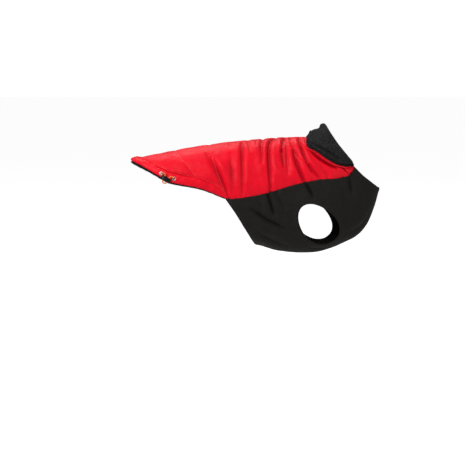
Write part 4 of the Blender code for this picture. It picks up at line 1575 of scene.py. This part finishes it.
class JACKET_OT_collar(bpy.types.Operator):
    """Fleece collar with a stitched free edge, and the red layer that rolls past it"""

    bl_idname = "jacket.collar"
    bl_label = "Collar"

    def execute(self, context):
        cloth = context.scene.jacket_cloth
        wall = cloth.fleece_wall / MM
        seam, fold, free, width = collar_lines(COLLAR_CELLS, COLLAR_END_SHARE)
        radius = np.clip(0.3 * width, 0.7, BEND_RADIUS)
        low = wall / 2
        crest = beside(fold, radius + low)
        rows = [(blend(t, seam, crest), low, 0.0) for t in np.linspace(0, 1, STAND_CELLS + 1)[:-1]]
        for turn in np.radians(np.linspace(-90, 90, BEND_CELLS + 1)):
            rows.append((beside(crest, -radius * math.cos(turn)), low + radius * (1 + math.sin(turn)), 0.0))
        for t in np.linspace(0, 1, FLAP_CELLS + 1)[1:]:
            rows.append((blend(t, crest, free), flap_out(t, low + 2 * radius, width, free[:, 1]), t))
        places = np.stack([place for place, _, _ in rows], axis=1)
        middle = self.pull_nape(np.stack([lifted(place, out) for place, out, _ in rows], axis=1))
        normal = unit(np.cross(np.gradient(middle, axis=0), np.gradient(middle, axis=1)))
        if normal[0, -1] @ directions(places[0, -1])[2] < 0:
            normal = -normal
        from_edge = np.linalg.norm(middle - middle[:, -1:], axis=-1)
        on_flap = smooth_step(np.array([share for _, _, share in rows]) * 6)
        relief = on_flap * bumps(middle, FLAP_BUMPS) + bumps(middle, FLEECE_BUMPS)
        relief += self.nape(middle)
        relief += on_flap * sum(more * within(from_edge, reach, soft) for more, reach, soft in EDGE_BANDS)
        for depth, place, reach in EDGE_GROOVES:
            relief -= on_flap * depth * bell(from_edge - place, reach)
        # Painted shade in the stitched groove and in the creases of the flap.
        hollow = 0.9 * on_flap * bell(from_edge - EDGE_GROOVES[0][1], GROOVE_SHADE_REACH)
        for side in (1, -1):
            line = lifted(np.array(COLLAR_CREASE) * (1, side), FLAP_EDGE_OUT + 0.8 * FLAP_SWELL)
            gap, place, _, length = line_distance(middle, line)
            fade = on_flap * fade_out(place, length)
            relief -= fade * CREASE_ROUND[0] * bell(gap, CREASE_ROUND[1])
            relief -= fade * CREASE_BOTTOM[0] * np.exp(-gap / CREASE_BOTTOM[1])
            hollow = np.maximum(hollow, fade * bell(gap, CREASE_SHADE_REACH))
        outer = raised(middle, normal, low + relief - edge_fall(from_edge, *FLAP_FALL))
        inner = raised(middle, -normal, low - np.minimum(relief + 0.6, 0))
        collar = shell("collar_fleece", outer, inner, places, fleece_material(cloth.fleece), hollow=hollow)
        keep(collar)
        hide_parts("collar")
        self.make_edge(cloth)
        self.make_tip(cloth)
        return {"FINISHED"}

    def pull_nape(self, points):
        """The roll at the nape moved forward over the neck."""
        (x, z), (ahead, up) = NAPE_PULL
        way_x, way_z = NECK_WAY
        down = (points[..., 0] - x) * way_x + (points[..., 2] - z) * way_z
        across = (points[..., 2] - z) * way_x - (points[..., 0] - x) * way_z
        share = bell(down, NAPE_PULL_REACH[0]) * bell(across, NAPE_PULL_REACH[1])
        return points + share[..., None] * np.array((ahead, 0.0, up))

    def nape(self, points):
        """Dent and swell across the nape."""
        across = bell(points[..., 1], NAPE_ACROSS)
        return across * sum(height * bell(np.hypot(points[..., 0] - x, points[..., 2] - z), reach)
                            for x, z, height, reach in NAPE_RELIEF)

    def make_tip(self, cloth):
        """Red facing folded over the front tip on each side."""
        rear, front, low = np.array(TIP)
        u, v = np.meshgrid(np.linspace(0, 1, TIP_POINTS), np.linspace(0, 0.97, TIP_POINTS))
        places = blend(v[..., None], blend(u[..., None], rear, low), front)
        gap = np.minimum(np.minimum(u, 1 - u) * TIP_WIDTH * (1 - v), v * TIP_LENGTH)
        bed = TIP_BED + TIP_BED_RISE * (1 - v) ** 3
        depth, groove, reach = TIP_GROOVE
        top = bed + TIP_WALL - edge_fall(gap, *TIP_FALL) - depth * bell(gap - groove, reach)
        for name, side in (("right", 1), ("left", -1)):
            spots = places * (1, side)
            tip = shell("tip_facing_" + name, lifted(spots, top), lifted(spots, bed), spots,
                        nylon_material(cloth.red))
            keep(tip)

    def make_edge(self, cloth):
        """Red outer layer, rolled along the collar's free edge."""
        _, _, free, width = collar_lines(COLLAR_CELLS, COLLAR_END_SHARE)
        hidden = np.minimum(EDGE_HIDDEN, 0.4 * width)
        under = flap_edge_out(width, free[:, 1]) - cloth.fleece_wall / MM / 2 - EDGE_GAP - EDGE_WALL
        length = running_length(skin(free))
        past = smooth_step((np.abs(free[:, 1]) - EDGE_FROM_ANGLE) / EDGE_OVER_ANGLE)
        shows = blend(past, -0.5, EDGE_SHOWS)
        high, pitch, seed = EDGE_WAVE
        rows, inner, outer = [], [], []
        for t in np.linspace(0, 1, EDGE_ROWS):
            place = beside(free, -hidden + t * (hidden + shows))
            curl = EDGE_CURL * smooth_step((t - 0.55) / 0.45) + high * uneven(length, pitch, seed) * t
            roll = edge_fall((1 - t) * (hidden + shows), *EDGE_FALL)
            rows.append(place)
            outer.append(lifted(place, under + EDGE_WALL + curl - roll))
            inner.append(lifted(place, under + curl + roll * 0.6))
        edge = shell("collar_edge_roll", np.array(outer), np.array(inner), np.array(rows),
                     nylon_material(cloth.red))
        keep(edge)
        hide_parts("collar_edge")


# ---------------------------------------------------------------- hardware

def turned(name, profile, sides, placed, surface):
    """Ring turned from a closed profile of (radius, height) in mm."""
    radius, height = np.transpose(profile)
    turn = full_turn(sides)[:, None]
    rings = np.stack((np.cos(turn) * radius, np.sin(turn) * radius,
                      np.broadcast_to(height, (sides, len(height)))), axis=-1)
    number = np.arange(sides * len(height)).reshape(sides, len(height))
    ahead = np.roll(number, -1, axis=0)
    faces = np.stack((number, ahead, np.roll(ahead, -1, axis=1), np.roll(number, -1, axis=1)), axis=-1)
    return link(name, new_mesh(name, moved(placed, rings), faces.reshape(-1, 4).tolist()), surface)


class JACKET_OT_eyelets(bpy.types.Operator):
    """Two nickel eyelets with rolled flanges, and dark discs in their holes as painted shadow"""

    bl_idname = "jacket.eyelets"
    bl_label = "Eyelets"

    def execute(self, context):
        trim = context.scene.jacket_trim
        rim = trim.eyelet / MM
        hole = rim - EYELET_RIM
        out = CASING_MIDDLE_OUT + CASING_HALF_HEIGHT + 0.1
        turn = full_turn(16)
        roll = ((rim + hole) / 2 + EYELET_RIM / 2 * np.cos(turn),
                EYELET_ROLL * np.sin(turn) + EYELET_MIDDLE)
        # A dark disc in the hole: painted shadow for the inside of the hole.
        hole_shadow = ((hole + 0.3, 0.02), (0.05, 0.02), (0.05, -0.3), (hole + 0.3, -0.3))
        for name, along, angle in EYELETS:
            placed = seat(along, angle, out)
            ring = turned(name + "_flange", np.transpose(roll), 40, placed, nickel_material(trim.nickel))
            keep(ring)
            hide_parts(name)
            disc = turned(name + "_barrel", hole_shadow, 32, placed, eyelet_shadow_material())
            keep(disc)
        return {"FINISHED"}


class JACKET_OT_lock(bpy.types.Operator):
    """Bean-shaped cord lock with a groove and two cord holes"""

    bl_idname = "jacket.cord_lock"
    bl_label = "Cord lock"

    def execute(self, context):
        trim = context.scene.jacket_trim
        placed = seat(*LOCK_PLACE, LOCK_OUT, LOCK_TILT)
        half = trim.lock_length / MM / 2
        turn = full_turn(LOCK_SIDES)
        depth, up_at, reach, from_end = LOCK_GROOVE
        rings = []
        for x in half * np.sin(np.linspace(-math.pi / 2, math.pi / 2, LOCK_STATIONS)):
            share = np.clip(1 - (abs(x) / half) ** 3.2, 0, 1) ** 0.5
            up = squared(np.sin(turn), 0.8) * (LOCK_HALF_HEIGHT * share + 0.02)
            out = squared(np.cos(turn), 0.8) * (LOCK_HALF_DEPTH * share + 0.02)
            groove = depth * bell(up - up_at, reach) * smooth_step((half - from_end - abs(x)) / 2.0)
            out = out - groove * (out > 0)
            rings.append(np.stack((np.full(len(turn), x), up - LOCK_SUNK, out), axis=-1))
        world = moved(placed, np.array(rings))
        lock = tube("cord_lock_bean", world, np.zeros((*world.shape[:2], 2)), plastic_material(trim.plastic))
        for side in (-1, 1):
            self.cut_hole(context, lock, placed @ Matrix.Translation((side * LOCK_HOLE_PLACE * MM, 0, 0)))
        keep(lock)
        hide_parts("cord_lock")
        return {"FINISHED"}

    def cut_hole(self, context, lock, placed):
        """A round hole right across the lock for one run of the cord."""
        bpy.ops.mesh.primitive_cylinder_add(vertices=28, radius=LOCK_HOLE_RADIUS * MM, depth=20 * MM)
        cutter = context.object
        cutter.data.transform(Matrix.Rotation(math.pi / 2, 4, "X"))
        cutter.data.transform(placed)
        cut = lock.modifiers.new("hole", "BOOLEAN")
        cut.operation = "DIFFERENCE"
        cut.object = cutter
        bpy.context.view_layer.update()
        seen = lock.evaluated_get(context.evaluated_depsgraph_get())
        made = bpy.data.meshes.new_from_object(seen)
        lock.modifiers.clear()
        lock.data = made
        made.set_sharp_from_angle(angle=math.radians(40))
        bpy.data.objects.remove(cutter)


# ---------------------------------------------------------------- sewing of the jacket

# The red thread is paler than the nylon: real thread, and also painted highlight along the quilting and
# casing seam lines.
RED_THREAD_AND_HIGHLIGHT = (0.95, 0.18, 0.18)
BLACK_THREAD = (0.02, 0.02, 0.022)


class JACKET_OT_sewing(bpy.types.Operator):
    """Quilting, casing seam, collar coverstitch and hem stitches"""

    bl_idname = "jacket.sewing"
    bl_label = "Sewing"

    def execute(self, context):
        pitch = context.scene.jacket_trim.stitch_pitch / MM
        # Pale red thread: real stitches that also paint highlight lines on the red cloth.
        red = thread_material("red_thread", RED_THREAD_AND_HIGHLIGHT)
        black = thread_material("black_thread", BLACK_THREAD)
        trees = {name: surface_of(bpy.data.objects[name]) for name in (
            "back_padded", "collar_fleece", "collar_edge_roll",
            "chest_right_softshell", "chest_left_softshell")}
        fine = np.linspace(0.01, 0.99, 220)
        quilts = [on_piece(trees["back_padded"], trace(rows, fine), 0.05) for rows in QUILTING]
        keep(sew("quilting_stitches", quilts, red, pitch=pitch, length=2.4, thread=0.5))
        casing = beside(trace(over_the_back(CASING_SEAM), np.linspace(0.03, 0.97, 400)), -2.6)
        rows = on_piece(trees["back_padded"], casing, 0.02)
        keep(sew("casing_stitches", [rows], red, pitch=pitch, length=2.4, thread=0.42))
        free = collar_lines(300, 0.05)[2]
        rows = [on_piece(trees["collar_fleece"], beside(free, -gap)) for gap in (1.8, 3.4)]
        keep(sew("collar_stitches", rows, black, pitch=2.6, length=2.0, thread=0.34))
        line = beside(free, 3.0)
        rows = [on_piece(trees["collar_edge_roll"], line[part])
                for part in (line[:, 1] > 40, line[:, 1] < -40)]
        keep(sew("collar_edge_stitches", rows, red, pitch=2.8, length=1.9, thread=0.3))
        lines = []
        for name, side in (("chest_right_softshell", 1), ("chest_left_softshell", -1)):
            lines += self.chest_lines(trees[name], side)
        keep(sew("chest_stitches", lines, black, pitch=pitch, length=2.3, thread=0.34))
        return {"FINISHED"}

    def chest_lines(self, tree, side):
        """Stitches of one half: neck, belly hem and armhole, and beside the side seam."""
        inside = HEM_BAND - 1.5
        fine = np.linspace(0.02, 0.98, 160)
        neck = beside(trace(NECK_EDGE, fine), -inside)
        hem = beside(trace(BELLY_HEM, fine), -inside)
        hole = armhole(240)
        away = beside(hole, inside)
        if np.linalg.norm(away[0] - ARMHOLE) < np.linalg.norm(hole[0] - ARMHOLE):
            away = beside(hole, -inside)
        seam = beside(trace(SIDE_SEAM, np.linspace(0.01, 0.99, 300)), -2.4)
        return [on_piece(tree, line * (1, side)) for line in (neck, hem, away, seam)]


# ---------------------------------------------------------------- add-on

class JACKET_PT_panel(bpy.types.Panel):
    """Jacket settings and pieces"""

    bl_label = "Dog jacket"
    bl_space_type = "VIEW_3D"
    bl_region_type = "UI"
    bl_category = "Jacket"

    def draw(self, context):
        for group in ("jacket_cloth", "jacket_trim", "jacket_stage"):
            settings = getattr(context.scene, group)
            box = self.layout.box()
            for name in settings.bl_rna.properties.keys():
                if name not in ("rna_type", "name"):
                    box.prop(settings, name)
        for operator in STEPS:
            self.layout.operator(operator.bl_idname)


SETTINGS = (
    ("jacket_cloth", JacketCloth),
    ("jacket_trim", JacketTrim),
    ("jacket_stage", JacketStage),
)
STEPS = (
    JACKET_OT_stage,
    JACKET_OT_drawcord,
    JACKET_OT_lock,
    JACKET_OT_eyelets,
    JACKET_OT_chest,
    JACKET_OT_back,
    JACKET_OT_hem,
    JACKET_OT_collar,
    JACKET_OT_sewing,
)


def register():
    """Register the classes and hang the settings on the scene."""
    for name, group in SETTINGS:
        bpy.utils.register_class(group)
        setattr(bpy.types.Scene, name, bpy.props.PointerProperty(type=group))
    for operator in STEPS:
        bpy.utils.register_class(operator)
    bpy.utils.register_class(JACKET_PT_panel)


def unregister():
    """Take the classes and the settings away again."""
    bpy.utils.unregister_class(JACKET_PT_panel)
    for operator in reversed(STEPS):
        bpy.utils.unregister_class(operator)
    for name, group in reversed(SETTINGS):
        delattr(bpy.types.Scene, name)
        bpy.utils.unregister_class(group)


def main():
    """Build every piece in order."""
    register()
    for operator in STEPS:
        group, name = operator.bl_idname.split(".")
        getattr(getattr(bpy.ops, group), name)()
    scene = bpy.context.scene
    json.loads(scene["cord_path"])


if __name__ == "__main__":
    main()
